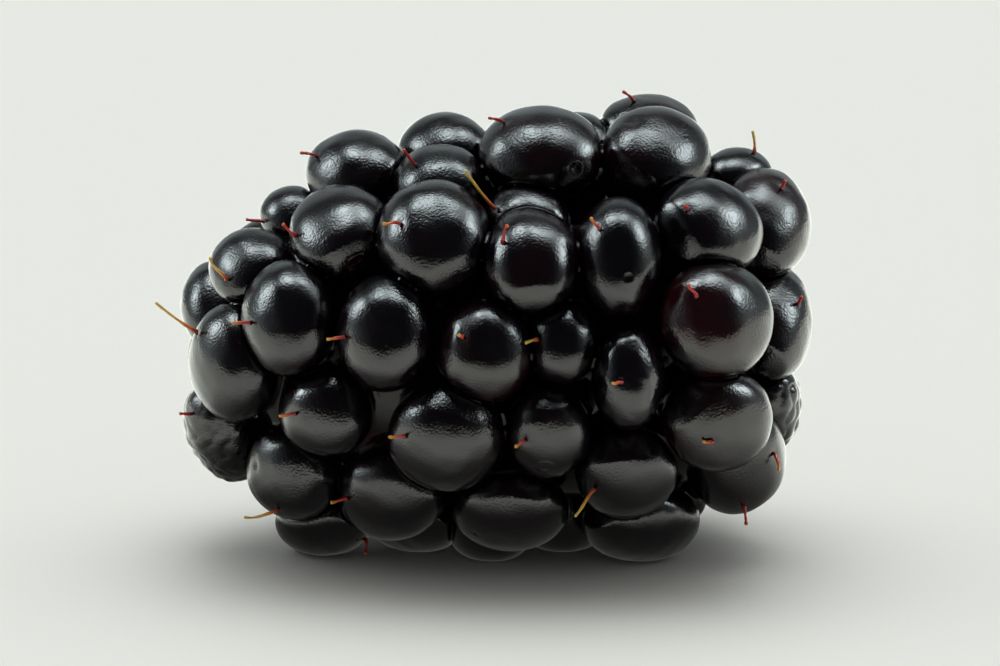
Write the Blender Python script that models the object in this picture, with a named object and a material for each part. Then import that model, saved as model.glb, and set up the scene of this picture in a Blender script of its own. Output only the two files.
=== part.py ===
"""Bramble berry, fully ripe and lying on its side: one fruit of fused drupelets, with the dried styles
that still stand on them.

X runs along the berry from its apex (-X) to its stem end (+X), -Y is its near side and Z is up.  The
origin is on the surface that the berry lies on, under its middle.  The layout below is in millimetres,
and the meshes are in metres.
"""

import math
from dataclasses import dataclass

import bmesh
import bpy
import numpy as np
from mathutils import Matrix, Vector
from mathutils.bvhtree import BVHTree

# --- Driving dimensions, in millimetres ---------------------------------------------------------------
MM = 0.001
WIDEST = 5.0  # how far the widest place is from the middle, towards the stem end
APEX_REACH = 18.6  # from the widest place to the last drupelets' centres at the apex
STEM_REACH = 8.0  # the same towards the stem end
GIRTH = 9.0  # radius of the layer of drupelet centres at the widest place
FULLNESS = 2.5  # exponent of the outline: 2 is an ellipse, more is a fuller barrel
AXIS_TILT = math.radians(3.0)  # the apex lies lower than the stem end

DRUPELET = 2.3  # usual half width of a drupelet
FAR_SIZES = (1.9, 2.75)  # smallest and largest half width on the far side
SPACING = 0.97  # centre distance of two neighbours, as a share of their half widths' sum
CROWDED = 0.80  # a drupelet nearer than this share of its spacing had no room to grow
ROOMY = 0.80  # a gap with this share of the spacing all round has room for one more drupelet
LATTICE = 104  # drupelets started over the whole berry before the crowded ones are left out
FINE_LATTICE = 600  # places where one more drupelet is tried
LEAN = 0.55  # share of the berry's own slope that a drupelet of the near side leans with
STEEPEST_ACROSS = 0.48  # slope that isn't followed beyond, across the berry
STEEPEST_UP = 0.68  # and up its face
PLUMP = 1.05  # a drupelet of the near side is this much wider than what its neighbours leave in view
FILLING = 0.3  # the flesh between the drupelets stands this far outside their centres
SCAR = (11.2, 4.4, 0.9)  # where the stem was, on the far side of the stem end
SCAR_RADIUS = 2.3
SCAR_DEPTH = 1.2

PRESSED = 0.12  # how deep the lowest drupelets are pressed flat by the berry's weight
RESTING = 8  # drupelets that the berry rests on
CENTRING = (0.76, 0.17)  # shift along X and Y that brings the middle of the box with the styles to 0

STYLE_RADIUS = 0.085
STYLE_TIP = 0.055
STYLE_GAP = 0.03  # clear space between a style's root and the skin
STYLE_SIDES = 5
STYLE_RINGS = 5
FAR_STYLES = 18  # styles on the drupelets that the near side doesn't show
TURNED_AWAY = -0.5  # how far such a drupelet's axis points towards the eye at most
UNDERSIDE = 1.2  # far drupelets that end lower than this have no style

VOXEL = 0.30  # grain of the fused skin
FACES = 7200  # triangles that the fused skin is brought down to

# --- The near side is laid out as it looks from a point in front of the berry and a little above it ----
EYE_DISTANCE = 235.0
EYE_TILT = math.radians(12.0)
RIGHT = np.array((1.0, 0.0, 0.0))
UP = np.array((0.0, math.sin(EYE_TILT), math.cos(EYE_TILT)))
NEAR = np.array((0.0, -math.cos(EYE_TILT), math.sin(EYE_TILT)))


@dataclass(frozen=True)
class Seen:
    """A drupelet of the near side: its middle, half width and height, turn, extra depth and nod.

    A nod turns its face farther down, and a negative one farther up.
    """

    across: float
    up: float
    wide: float
    tall: float
    roll: float = 0.0
    deeper: float = 0.0
    nod: float = 0.0


@dataclass(frozen=True)
class SeenStyle:
    """A style of the near side: where its root and tip look to be, and how far the tip stands out."""

    root: tuple
    tip: tuple
    stand: float = 0.35


@dataclass
class Drupelet:
    """An ellipsoid: its centre, and its three half axes as the columns of a matrix."""

    centre: np.ndarray
    axes: np.ndarray

    def half_width(self):
        """Middle one of the three half axes."""
        return float(np.sort(np.linalg.norm(self.axes, axis=0))[1])

    def bottom(self):
        """Height of its lowest point."""
        return float(self.centre[2] - np.linalg.norm(self.axes[2]))

    def facing(self):
        """How far its outward axis points towards the eye, from -1 to 1."""
        return float(self.axes[:, 2] @ NEAR / np.linalg.norm(self.axes[:, 2]))


TOP_ROW = (
    Seen(-6.92, 7.75, 2.30, 1.95, deeper=-1.0),
    Seen(-2.7, 8.8, 2.10, 1.75, deeper=0.6),
    Seen(2.0, 8.65, 2.80, 2.20, deeper=-1.0),
    Seen(3.6, 9.1, 1.85, 1.48, deeper=2.2),
    Seen(7.2, 9.85, 2.27, 1.60, deeper=2.1),
    Seen(7.5, 8.5, 2.55, 2.30),
    Seen(11.5, 7.6, 1.62, 1.30, deeper=2.4),
)
SECOND_ROW = (
    Seen(-10.1, 5.8, 1.40, 1.28, deeper=0.8),
    Seen(-7.7, 4.9, 2.30, 2.15, deeper=-0.3, nod=-0.14),
    Seen(-2.9, 7.2, 2.15, 1.80, deeper=0.9),
    Seen(-3.2, 4.6, 2.60, 2.60, deeper=-0.9, nod=0.09),
    Seen(1.3, 5.3, 1.95, 1.85, deeper=0.9),
    Seen(1.5, 3.5, 2.25, 2.40, deeper=-0.8, nod=-0.09),
    Seen(5.7, 3.6, 2.00, 2.75, nod=0.14),
    Seen(10.1, 5.1, 2.50, 2.15, roll=-25.0, deeper=-0.3),
    Seen(12.8, 5.3, 2.10, 2.50, deeper=0.4),
)
MIDDLE_ROW = (
    Seen(-13.85, 1.4, 1.50, 1.95, deeper=1.2),
    Seen(-11.95, 3.1, 2.00, 1.85),
    Seen(-10.2, 0.7, 2.20, 2.60, deeper=-0.3),
    Seen(-5.5, 0.0, 2.25, 2.65, deeper=-0.3),
    Seen(-0.7, -0.9, 2.20, 2.35, deeper=-0.3),
    Seen(3.0, -0.4, 1.75, 2.00, deeper=0.3, nod=-0.14),
    Seen(6.2, -2.1, 1.65, 2.40, nod=-0.1),
    Seen(10.4, 0.6, 2.60, 2.70, deeper=-0.4),
    Seen(13.12, 0.65, 1.84, 2.70, deeper=0.6),
)
FOURTH_ROW = (
    Seen(-13.3, -4.75, 1.72, 2.36, roll=25.0, deeper=1.2, nod=-0.13),
    Seen(-12.7, -1.4, 2.15, 2.70, nod=-0.05),
    Seen(-8.4, -3.8, 2.15, 2.00, deeper=0.3, nod=-0.22),
    Seen(-2.6, -5.0, 2.65, 2.45, deeper=-0.4, nod=-0.06),
    Seen(2.3, -4.8, 1.95, 2.10),
    Seen(10.5, -4.2, 2.50, 2.35, deeper=-0.4, nod=-0.06),
    Seen(13.15, -3.6, 1.35, 2.00, deeper=1.8),
)
BOTTOM_ROW = (
    Seen(-9.9, -6.6, 2.20, 2.25, deeper=-0.8, nod=-0.22),
    Seen(-8.55, -8.9, 2.18, 1.52, deeper=0.6),
    Seen(-5.2, -7.6, 2.50, 2.25, nod=-0.09),
    Seen(-4.0, -9.7, 2.25, 1.45, deeper=1.5),
    Seen(0.5, -8.5, 2.60, 1.90, deeper=-1.0, nod=0.1),
    Seen(6.1, -6.7, 2.30, 2.10, nod=0.13),
    Seen(6.8, -9.05, 2.66, 1.86, deeper=-0.5),
    Seen(11.4, -6.05, 2.27, 2.52, deeper=1.0),
    Seen(8.85, -8.1, 1.05, 1.00, deeper=2.6),
)
NEAR_SIDE = TOP_ROW + SECOND_ROW + MIDDLE_ROW + FOURTH_ROW + BOTTOM_ROW

NEAR_STYLES = (
    SeenStyle((-8.9, 8.6), (-9.7, 8.7)),
    SeenStyle((0.2, 10.2), (-0.6, 10.4)),
    SeenStyle((6.5, 11.2), (5.9, 11.7)),
    SeenStyle((12.3, 8.7), (12.2, 9.8)),
    SeenStyle((13.6, 7.0), (13.8, 7.4)),
    SeenStyle((14.4, 1.4), (14.6, 1.8)),
    SeenStyle((11.8, -8.4), (11.9, -9.3)),
    SeenStyle((13.3, -5.8), (13.45, -6.7)),
    SeenStyle((10.3, -5.3), (9.8, -5.2)),
    SeenStyle((9.5, 1.7), (9.1, 2.4)),
    SeenStyle((9.1, 6.0), (8.9, 6.2)),
    SeenStyle((4.8, 5.0), (4.4, 5.6)),
    SeenStyle((0.1, 4.4), (0.4, 5.2), stand=0.8),
    SeenStyle((-0.2, 5.95), (-1.7, 7.9), stand=1.6),
    SeenStyle((-4.1, 8.1), (-4.7, 8.9), stand=0.7),
    SeenStyle((-4.8, 5.3), (-5.7, 5.3)),
    SeenStyle((-9.9, 4.7), (-10.5, 5.3)),
    SeenStyle((-11.4, 5.4), (-12.3, 5.5)),
    SeenStyle((-13.2, 2.5), (-14.0, 3.7), stand=0.6),
    SeenStyle((-14.6, 0.0), (-16.7, 1.5), stand=0.8),
    SeenStyle((-12.1, 0.5), (-13.0, 0.5)),
    SeenStyle((-7.5, -0.2), (-8.4, -0.3)),
    SeenStyle((-1.8, -0.2), (-2.0, -0.1)),
    SeenStyle((1.8, -0.3), (1.2, -0.5), stand=0.6),
    SeenStyle((5.9, -2.4), (5.4, -2.4)),
    SeenStyle((1.2, -5.2), (0.7, -5.5)),
    SeenStyle((-4.6, -5.0), (-5.4, -5.0)),
    SeenStyle((-9.9, -3.9), (-10.7, -4.0)),
    SeenStyle((-15.0, -3.9), (-15.5, -3.9)),
    SeenStyle((-7.4, -8.0), (-8.2, -8.2)),
    SeenStyle((4.6, -7.5), (3.6, -8.9), stand=0.9),
    SeenStyle((-10.7, -8.6), (-12.4, -8.9), stand=0.5),
    SeenStyle((-6.1, -10.3), (-6.5, -10.7)),
)


# --- The shape of the whole berry ----------------------------------------------------------------------
def along_axis(points):
    """Points seen from the widest place of the berry's own tilted axis."""
    turn = np.array(Matrix.Rotation(AXIS_TILT, 3, "Y"))
    return points @ turn.T - np.array((WIDEST, 0.0, 0.0))


def from_axis(points):
    """The way back from along_axis."""
    turn = np.array(Matrix.Rotation(AXIS_TILT, 3, "Y"))
    return (points + np.array((WIDEST, 0.0, 0.0))) @ turn


def outness(local):
    """How far out points on the berry's own axis lie: 1 on the layer of drupelet centres."""
    reach = np.where(local[..., 0] < 0.0, APEX_REACH, STEM_REACH)
    length = np.abs(local[..., 0]) / reach
    girth = np.hypot(local[..., 1], local[..., 2]) / GIRTH
    return (length**FULLNESS + girth**FULLNESS) ** (1.0 / FULLNESS)


def onto_layer(points, outside=0.0):
    """Points moved straight from the berry's heart onto the layer of centres, or so far outside it."""
    local = along_axis(points)
    local = local / outness(local)[..., None]
    distance = np.linalg.norm(local, axis=-1)[..., None]
    return from_axis(local * (1.0 + outside / distance))


def outward(point):
    """Unit direction that points straight out of the berry at a point."""
    step = 0.01
    slope = [outness(along_axis(point + step * axis)) - outness(along_axis(point - step * axis))
             for axis in np.eye(3)]
    return np.array(slope) / np.linalg.norm(slope)


def sight_line(across, up):
    """Start and direction of the line from the eye through a place on the berry's middle plane."""
    eye = EYE_DISTANCE * NEAR
    direction = across * RIGHT + up * UP - eye
    return eye, direction / np.linalg.norm(direction)


# --- Where the drupelets are ---------------------------------------------------------------------------
def near_drupelet(seen):
    """Ellipsoid of a drupelet of the near side, at the depth where its sight line meets the layer."""
    eye, direction = sight_line(seen.across, seen.up)
    travel = np.arange(-14.0, 14.0, 0.02) + EYE_DISTANCE
    out = outness(along_axis(eye + travel[:, None] * direction))
    meets = np.nonzero(out <= 1.0)[0]
    first = meets[0] if len(meets) else int(np.argmin(out))
    depth = travel[first] + seen.deeper
    nearness = depth / EYE_DISTANCE
    roll = math.radians(seen.roll)
    wide_way = math.cos(roll) * RIGHT + math.sin(roll) * UP
    tall_way = math.cos(roll) * UP - math.sin(roll) * RIGHT
    centre = eye + depth * direction
    out = outward(centre)
    facing = max(0.05, out @ NEAR)
    wide_slope, tall_slope = (LEAN * float(np.clip(-(out @ way) / facing, -steepest, steepest))
                              for way, steepest in ((wide_way, STEEPEST_ACROSS), (tall_way, STEEPEST_UP)))
    axes = np.column_stack((seen.wide * (wide_way + wide_slope * NEAR),
                            seen.tall * (tall_way + (tall_slope + seen.nod) * NEAR),
                            max(seen.wide, seen.tall) * NEAR))
    return Drupelet(centre, PLUMP * nearness * axes)


def lattice_points(count):
    """Points spread evenly over a ball in one winding row, stretched onto the layer of centres."""
    index = np.arange(count) + 0.5
    along = 1.0 - 2.0 * index / count
    around = index * math.pi * (3.0 - math.sqrt(5.0))
    ring = np.sqrt(1.0 - along**2)
    ball = np.column_stack((along, ring * np.cos(around), ring * np.sin(around)))
    reach = np.where(ball[:, 0] < 0.0, APEX_REACH, STEM_REACH)
    ball[:, 0] *= reach
    ball[:, 1:] *= GIRTH
    return onto_layer(from_axis(ball))


def unseen(points, near):
    """Which points lie behind drupelets of the near side, seen from the eye."""
    eye = EYE_DISTANCE * NEAR
    hidden = np.zeros(len(points), dtype=bool)
    for drupelet in near:
        to_ball = np.linalg.inv(drupelet.axes).T
        start = (eye - drupelet.centre) @ to_ball
        way = (points - drupelet.centre) @ to_ball - start
        share = -(way @ start) / (way**2).sum(axis=1)
        passing = np.linalg.norm(start + share[:, None] * way, axis=1)
        hidden |= (passing < 1.0) & (share < 1.0)
    return hidden & np.array([outward(point) @ NEAR < 0.1 for point in points])


def covered(centres, near, reach):
    """Which centres leave their drupelet, out to that share of it, behind the near side."""
    outwards = np.array([outward(centre) for centre in centres])
    upwards = np.maximum(outwards @ UP, 0.0)
    sideways = reach * DRUPELET * (np.outer(outwards @ RIGHT, RIGHT) + np.outer(upwards, UP))
    around = 0.7 * np.cross(NEAR, sideways)
    hidden = unseen(centres + sideways, near)
    hidden &= unseen(centres + 0.7 * sideways + around, near)
    return hidden & unseen(centres + 0.7 * sideways - around, near)


def far_centres(near, fixed, fixed_widths):
    """Centres of the drupelets that the near side hides, spaced evenly beside the fixed ones."""
    centres = thinned(lattice_points(LATTICE), fixed, fixed_widths)
    centres = centres[covered(centres, near, 0.45)]
    places = lattice_points(FINE_LATTICE)
    places = places[covered(places, near, 0.45)]
    while True:
        share = room(places, np.vstack((centres, fixed)), far_and_fixed(centres, fixed_widths))
        widest = int(np.argmax(share))
        if share[widest] < ROOMY:
            return centres[covered(centres, near, 0.45)]
        centres = relaxed(np.vstack((centres, places[widest])), fixed, fixed_widths)


def thinned(centres, fixed, fixed_widths):
    """Centres after the most crowded ones are left out, one by one, and the others have spread."""
    while True:
        centres = relaxed(centres, fixed, fixed_widths)
        share = room(centres, np.vstack((centres, fixed)), far_and_fixed(centres, fixed_widths))
        worst = int(np.argmin(share))
        if share[worst] >= CROWDED:
            return centres
        centres = np.delete(centres, worst, axis=0)


def far_and_fixed(centres, fixed_widths):
    """Half widths of the far drupelets and of the fixed ones, in one row."""
    return np.concatenate((np.full(len(centres), DRUPELET), fixed_widths))


def room(places, others, widths):
    """Each place's distance to its nearest neighbour, as a share of the spacing of the two."""
    distance = np.linalg.norm(places[:, None] - others[None], axis=2)
    distance[distance < 1e-6] = np.inf
    return (distance / (SPACING * (DRUPELET + widths))).min(axis=1)


def relaxed(centres, fixed, fixed_widths, rounds=12):
    """Centres after they have pushed each other apart, and away from the fixed ones, a few times."""
    wanted = SPACING * (DRUPELET + far_and_fixed(centres, fixed_widths))
    for _ in range(rounds):
        others = np.vstack((centres, fixed))
        apart = centres[:, None] - others[None]
        distance = np.linalg.norm(apart, axis=2) + 1e-9
        push = np.clip(wanted[None] - distance, 0.0, None) / distance
        push[np.arange(len(centres)), np.arange(len(centres))] = 0.0
        centres = onto_layer(centres + 0.3 * (apart * push[..., None]).sum(axis=1))
    return centres


def far_drupelet(centre, number, others):
    """Ellipsoid of a far drupelet: it fills the room between its neighbours, and lies a little aslant."""
    out = outward(centre)
    along = RIGHT - out * (RIGHT @ out)
    along = along / np.linalg.norm(along)
    around = np.cross(out, along)
    slant = 0.5 * math.sin(1.7 * number)
    first = math.cos(slant) * along + math.sin(slant) * around
    second = np.cross(out, first)
    distance = np.sort(np.linalg.norm(others - centre, axis=1))[1:6]
    size = float(np.clip(0.54 * distance.mean(), *FAR_SIZES))
    variety = 0.06 * math.sin(2.4 * number)
    axes = np.column_stack((size * (1.0 + variety) * first, size * (1.0 - variety) * second, size * out))
    return Drupelet(centre, axes)


def settle(drupelets):
    """Set the berry down, its lowest drupelets at one level, and return how far the others moved."""
    lowest = sorted(drupelets, key=Drupelet.bottom)[:RESTING]
    level = sum(drupelet.bottom() for drupelet in lowest) / RESTING
    for drupelet in lowest:
        drupelet.centre[2] += level - drupelet.bottom()
    move = np.array((*CENTRING, -level - PRESSED))
    for drupelet in drupelets:
        drupelet.centre += move
    return move


def lay_out_drupelets():
    """All drupelets, the near side's first, set down on the surface, and how far the layout moved."""
    near = [near_drupelet(seen) for seen in NEAR_SIDE]
    scar = onto_layer(np.array(SCAR))
    fixed = np.array([drupelet.centre for drupelet in near] + [scar])
    fixed_widths = np.array([drupelet.half_width() for drupelet in near] + [SCAR_RADIUS])
    centres = far_centres(near, fixed, fixed_widths)
    others = np.vstack((fixed, centres))
    far = [far_drupelet(centre, number, others) for number, centre in enumerate(centres)]
    for drupelet, free in zip(far, covered(centres, near, 1.05)):
        if not free:
            drupelet.centre -= 0.45 * DRUPELET * outward(drupelet.centre)
            drupelet.axes *= 0.8
    move = settle(near + far)
    return near, far, move


# --- Materials -----------------------------------------------------------------------------------------
def make_material(name, colour, roughness):
    """Principled material of one colour; nothing on a berry is metal."""
    material = bpy.data.materials.new(name)
    material.use_nodes = True
    shader = material.node_tree.nodes["Principled BSDF"]
    shader.inputs["Base Color"].default_value = (*colour, 1.0)
    shader.inputs["Roughness"].default_value = roughness
    shader.inputs["Metallic"].default_value = 0.0
    material.diffuse_color = (*colour, 1.0)
    return material


# --- The fruit -----------------------------------------------------------------------------------------
def add_ellipsoid(mesh, drupelet):
    """Add a drupelet's closed ellipsoid to a bmesh."""
    place = Matrix(drupelet.axes * MM).to_4x4()
    place.translation = Vector(drupelet.centre * MM)
    bmesh.ops.create_icosphere(mesh, subdivisions=3, radius=1.0, matrix=place)


def add_filling(mesh, move):
    """Add the flesh that joins the drupelets, which ends in a shallow hollow where the stem was."""
    made = bmesh.ops.create_icosphere(mesh, subdivisions=5, radius=1.0)
    scar = onto_layer(np.array(SCAR), FILLING)
    for vertex in made["verts"]:
        ball = np.array(vertex.co) * np.array((APEX_REACH if vertex.co.x < 0.0 else STEM_REACH, GIRTH, GIRTH))
        place = onto_layer(from_axis(ball), FILLING)
        reach = np.linalg.norm(place - scar) / SCAR_RADIUS
        if reach < 1.0:
            place = place - outward(place) * SCAR_DEPTH * (1.0 - reach**2) ** 2
        vertex.co = Vector((place + move) * MM)


def make_berry(drupelets, move, skin):
    """The fruit as one solid: ellipsoids and filling fused to one skin, with flats where it rests."""
    mesh = bmesh.new()
    for drupelet in drupelets:
        add_ellipsoid(mesh, drupelet)
    add_filling(mesh, move)
    data = bpy.data.meshes.new("berry")
    mesh.to_mesh(data)
    mesh.free()
    berry = bpy.data.objects.new("berry", data)
    bpy.context.scene.collection.objects.link(berry)
    berry.data.materials.append(skin)

    fuse = berry.modifiers.new("fuse", "REMESH")
    fuse.mode = "VOXEL"
    fuse.voxel_size = VOXEL * MM
    fused = evaluated_mesh(berry)
    triangles = 2 * len(fused.polygons)
    thin = berry.modifiers.new("thin", "DECIMATE")
    thin.ratio = FACES / triangles
    flats = berry.modifiers.new("flats", "BOOLEAN")
    flats.operation = "DIFFERENCE"
    flats.solver = "EXACT"
    flats.object = make_surface_cutter()
    return berry


def make_surface_cutter():
    """Guide block below the surface that the berry lies on, which takes the pressed flats off it."""
    size = 60.0 * MM
    data = bpy.data.meshes.new("surface_cutter")
    mesh = bmesh.new()
    bmesh.ops.create_cube(mesh, size=size, matrix=Matrix.Translation((0.0, 0.0, -size / 2.0)))
    mesh.to_mesh(data)
    mesh.free()
    cutter = bpy.data.objects.new("surface_cutter", data)
    bpy.context.scene.collection.objects.link(cutter)
    cutter.hide_render = True
    cutter.display_type = "WIRE"
    return cutter


def evaluated_mesh(thing):
    """A thing's mesh with its modifiers, as a new mesh."""
    graph = bpy.context.evaluated_depsgraph_get()
    return bpy.data.meshes.new_from_object(thing.evaluated_get(graph))


# --- The dried styles ----------------------------------------------------------------------------------
def route(root, outwards, tip):
    """Points from just off the skin to the tip: out of the skin first, then over towards the tip."""
    start = root + outwards * STYLE_GAP
    elbow = root + 0.4 * (tip - root) + outwards * 0.16 * (tip - root).length
    points = []
    for ring in range(STYLE_RINGS):
        share = ring / (STYLE_RINGS - 1)
        points.append(start * (1 - share) ** 2 + elbow * 2 * share * (1 - share) + tip * share**2)
    return points


def kept_clear(points, radii, skin_tree):
    """Route points, each moved out until its ring is clear of the skin."""
    clear = [points[0]]
    for point, radius in zip(points[1:], radii[1:]):
        nearest, normal, _, distance = skin_tree.find_nearest(point * MM)
        nearest = nearest / MM
        inside = (point - nearest).dot(normal) < 0.0
        least = radius + 2.0 * STYLE_GAP
        if inside or distance / MM < least:
            point = nearest + normal * least
        clear.append(point)
    return clear


def make_style(name, root, outwards, tip, skin_tree, straw):
    """One dried style: a thin tapering tube with closed ends, standing just off the skin."""
    radii = [STYLE_RADIUS + (STYLE_TIP - STYLE_RADIUS) * ring / (STYLE_RINGS - 1) for ring in range(STYLE_RINGS)]
    points = kept_clear(route(root, outwards, tip), radii, skin_tree)
    mesh = bmesh.new()
    rings = []
    for index, (point, radius) in enumerate(zip(points, radii)):
        before = points[max(index - 1, 0)]
        after = points[min(index + 1, STYLE_RINGS - 1)]
        way = outwards if index == 0 else (after - before).normalized()
        side = way.orthogonal().normalized() if index == 0 else (side - way * side.dot(way)).normalized()
        across = way.cross(side)
        ring = []
        for corner in range(STYLE_SIDES):
            angle = 2.0 * math.pi * corner / STYLE_SIDES
            place = point + radius * (side * math.cos(angle) + across * math.sin(angle))
            ring.append(mesh.verts.new(place * MM))
        rings.append(ring)
    for lower, upper in zip(rings, rings[1:]):
        for corner in range(STYLE_SIDES):
            after = (corner + 1) % STYLE_SIDES
            mesh.faces.new((lower[corner], lower[after], upper[after], upper[corner]))
    mesh.faces.new(reversed(rings[0]))
    mesh.faces.new(rings[-1])
    data = bpy.data.meshes.new(name)
    mesh.to_mesh(data)
    mesh.free()
    data.shade_smooth()
    style = bpy.data.objects.new(name, data)
    style.data.materials.append(straw)
    bpy.context.scene.collection.objects.link(style)
    return style


def near_style_ends(seen, move, skin_tree):
    """Root, skin direction and tip of a style of the near side, found along the eye's sight lines."""
    eye, root_way = sight_line(*seen.root)
    eye = Vector(eye + move)
    root, outwards, _, _ = skin_tree.ray_cast(eye * MM, Vector(root_way))
    if root is None:
        root, outwards, _, _ = skin_tree.find_nearest((eye + EYE_DISTANCE * Vector(root_way)) * MM)
    root = root / MM
    _, tip_way = sight_line(*seen.tip)
    tip = eye + Vector(tip_way) * ((root - eye).length - seen.stand)
    return root, outwards, tip


def far_style_ends(drupelet, number, skin_tree):
    """Root, skin direction and tip of a style on a far drupelet, leaning towards the apex."""
    out = Vector(drupelet.axes[:, 2]).normalized()
    apex_way = Vector(drupelet.axes[:, 0]).normalized()
    if apex_way.x > 0.0:
        apex_way.negate()
    aim = (out + 0.55 * apex_way).normalized()
    centre = Vector(drupelet.centre)
    root, outwards, _, _ = skin_tree.ray_cast((centre + aim * 2.5 * DRUPELET) * MM, -aim)
    root = root / MM
    length = 0.75 + 0.35 * math.sin(1.9 * number)
    tip = root + (0.5 * outwards + apex_way).normalized() * length
    return root, outwards, tip


def make_styles(far, move, berry, straw):
    """All dried styles, numbered from the near side on; the underside has lost its own."""
    skin_tree = BVHTree.FromObject(berry, bpy.context.evaluated_depsgraph_get())
    ends = [near_style_ends(seen, move, skin_tree) for seen in NEAR_STYLES]
    high = [
        drupelet
        for drupelet in far
        if drupelet.bottom() > UNDERSIDE and drupelet.facing() < TURNED_AWAY
    ]
    chosen = [high[number * len(high) // FAR_STYLES] for number in range(FAR_STYLES)]
    ends += [far_style_ends(drupelet, number, skin_tree) for number, drupelet in enumerate(chosen)]
    for number, (root, outwards, tip) in enumerate(ends, start=1):
        make_style(f"style_{number:02d}", root, outwards, tip, skin_tree, straw)


def main():
    """Build the fruit and its styles."""
    for thing in list(bpy.data.objects):
        bpy.data.objects.remove(thing)
    skin = make_material("ripe_skin", (0.008, 0.005, 0.009), 0.2)
    straw = make_material("dried_style", (0.42, 0.12, 0.03), 0.55)
    near, far, move = lay_out_drupelets()
    berry = make_berry(near + far, move, skin)
    make_styles(far, move, berry, straw)


main()
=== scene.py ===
"""Bramble berry, dressed: plump black drupelets with a pebbled skin, juice in their creases, dried styles.

X runs along the berry from its apex (-X) to its stem end (+X), -Y is its near side and Z is up, as in the
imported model.  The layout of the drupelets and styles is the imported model's own, in millimetres, and the
meshes are in metres.
"""

import logging
import math
from dataclasses import dataclass, field
from enum import Enum
from typing import Sequence

import bpy
import numpy as np
from mathutils import Matrix, Vector
from mathutils.bvhtree import BVHTree


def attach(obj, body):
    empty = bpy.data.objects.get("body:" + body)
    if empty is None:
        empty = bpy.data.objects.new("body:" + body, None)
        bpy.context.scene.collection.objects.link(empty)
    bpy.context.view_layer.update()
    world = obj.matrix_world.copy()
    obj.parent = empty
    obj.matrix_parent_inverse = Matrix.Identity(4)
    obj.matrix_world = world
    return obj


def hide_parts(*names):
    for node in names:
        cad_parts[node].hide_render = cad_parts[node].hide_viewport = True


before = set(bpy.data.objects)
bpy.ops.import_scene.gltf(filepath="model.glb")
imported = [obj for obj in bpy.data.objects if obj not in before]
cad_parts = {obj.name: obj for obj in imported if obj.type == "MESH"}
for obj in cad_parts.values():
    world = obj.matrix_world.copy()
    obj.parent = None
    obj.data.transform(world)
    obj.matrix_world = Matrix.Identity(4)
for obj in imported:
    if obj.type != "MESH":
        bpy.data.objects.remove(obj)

LOG = logging.getLogger("bramble_berry")
MM = 0.001
BODY = "root"
SKIN_SLOT = "ripe_skin"
STYLE_SLOT = "dried_style"
FRUIT_NODE = "berry"
SHOULDER = 2.25  # 2 gives an ellipsoid, and more gives a fuller shoulder between a crown and its sides

Array = np.ndarray
Colour = tuple[float, float, float, float]
Socket = bpy.types.NodeSocket


# --- Where everything on the berry is ------------------------------------------------------------------
@dataclass(frozen=True)
class Seen:
    """A drupelet of the near side.

    Args:
        across: place of its middle along the berry, in millimetres.
        up: place of its middle up the berry's face.
        wide: half width.
        tall: half height.
        roll: turn in its own plane, in degrees.
        deeper: how much farther in it lies than the layer of drupelet centres.
        nod: how far its face turns down, or up where it is negative.
        redness: how much red still shows through the black.
        wither: how far it has dried and wrinkled.
    """

    across: float
    up: float
    wide: float
    tall: float
    roll: float = 0.0
    deeper: float = 0.0
    nod: float = 0.0
    redness: float = 0.08
    wither: float = 0.0


class Tint(Enum):
    """How a dried style is coloured from its root to its tip."""

    RED = "red"
    AMBER = "amber"
    STRAW = "straw"


@dataclass(frozen=True)
class SeenStyle:
    """A style of the near side.

    Args:
        root: where its root looks to be, across and up, in millimetres.
        tip: where its tip looks to be.
        stand: how far the tip stands out from the root towards the eye.
        tint: its colouring.
        bow: sideways bend of its middle, as a share of its length.
    """

    root: tuple[float, float]
    tip: tuple[float, float]
    stand: float = 0.35
    tint: Tint = Tint.AMBER
    bow: float = 0.10


@dataclass
class Drupelet:
    """An ellipsoid that stands for one drupelet before its neighbours press on it.

    Args:
        centre: its centre, in millimetres.
        axes: its three half axes, as the columns of a matrix.
        redness: how much red still shows through the black.
        wither: how far it has dried and wrinkled.
        near: whether it belongs to the near side.
    """

    centre: Array
    axes: Array
    redness: float
    wither: float
    near: bool

    def half_width(self) -> float:
        """Middle one of the three half axes."""
        return float(np.sort(np.linalg.norm(self.axes, axis=0))[1])

    def bottom(self) -> float:
        """Height of its lowest point."""
        return float(self.centre[2] - np.linalg.norm(self.axes[2]))

    def facing(self, way: Array) -> float:
        """How far its outward axis points along a direction, from -1 to 1."""
        return float(self.axes[:, 2] @ way / np.linalg.norm(self.axes[:, 2]))

    def level(self, points: Array) -> Array:
        """How far out points lie: 0 at the centre and 1 on the surface, which is fuller than an ellipsoid.

        Args:
            points: places, in millimetres, along the last axis.

        Returns:
            Their levels.
        """
        local = np.abs((points - self.centre) @ np.linalg.inv(self.axes).T)
        side = np.hypot(local[..., 0], local[..., 1])
        return (side**SHOULDER + local[..., 2] ** SHOULDER) ** (1.0 / SHOULDER)


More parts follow.
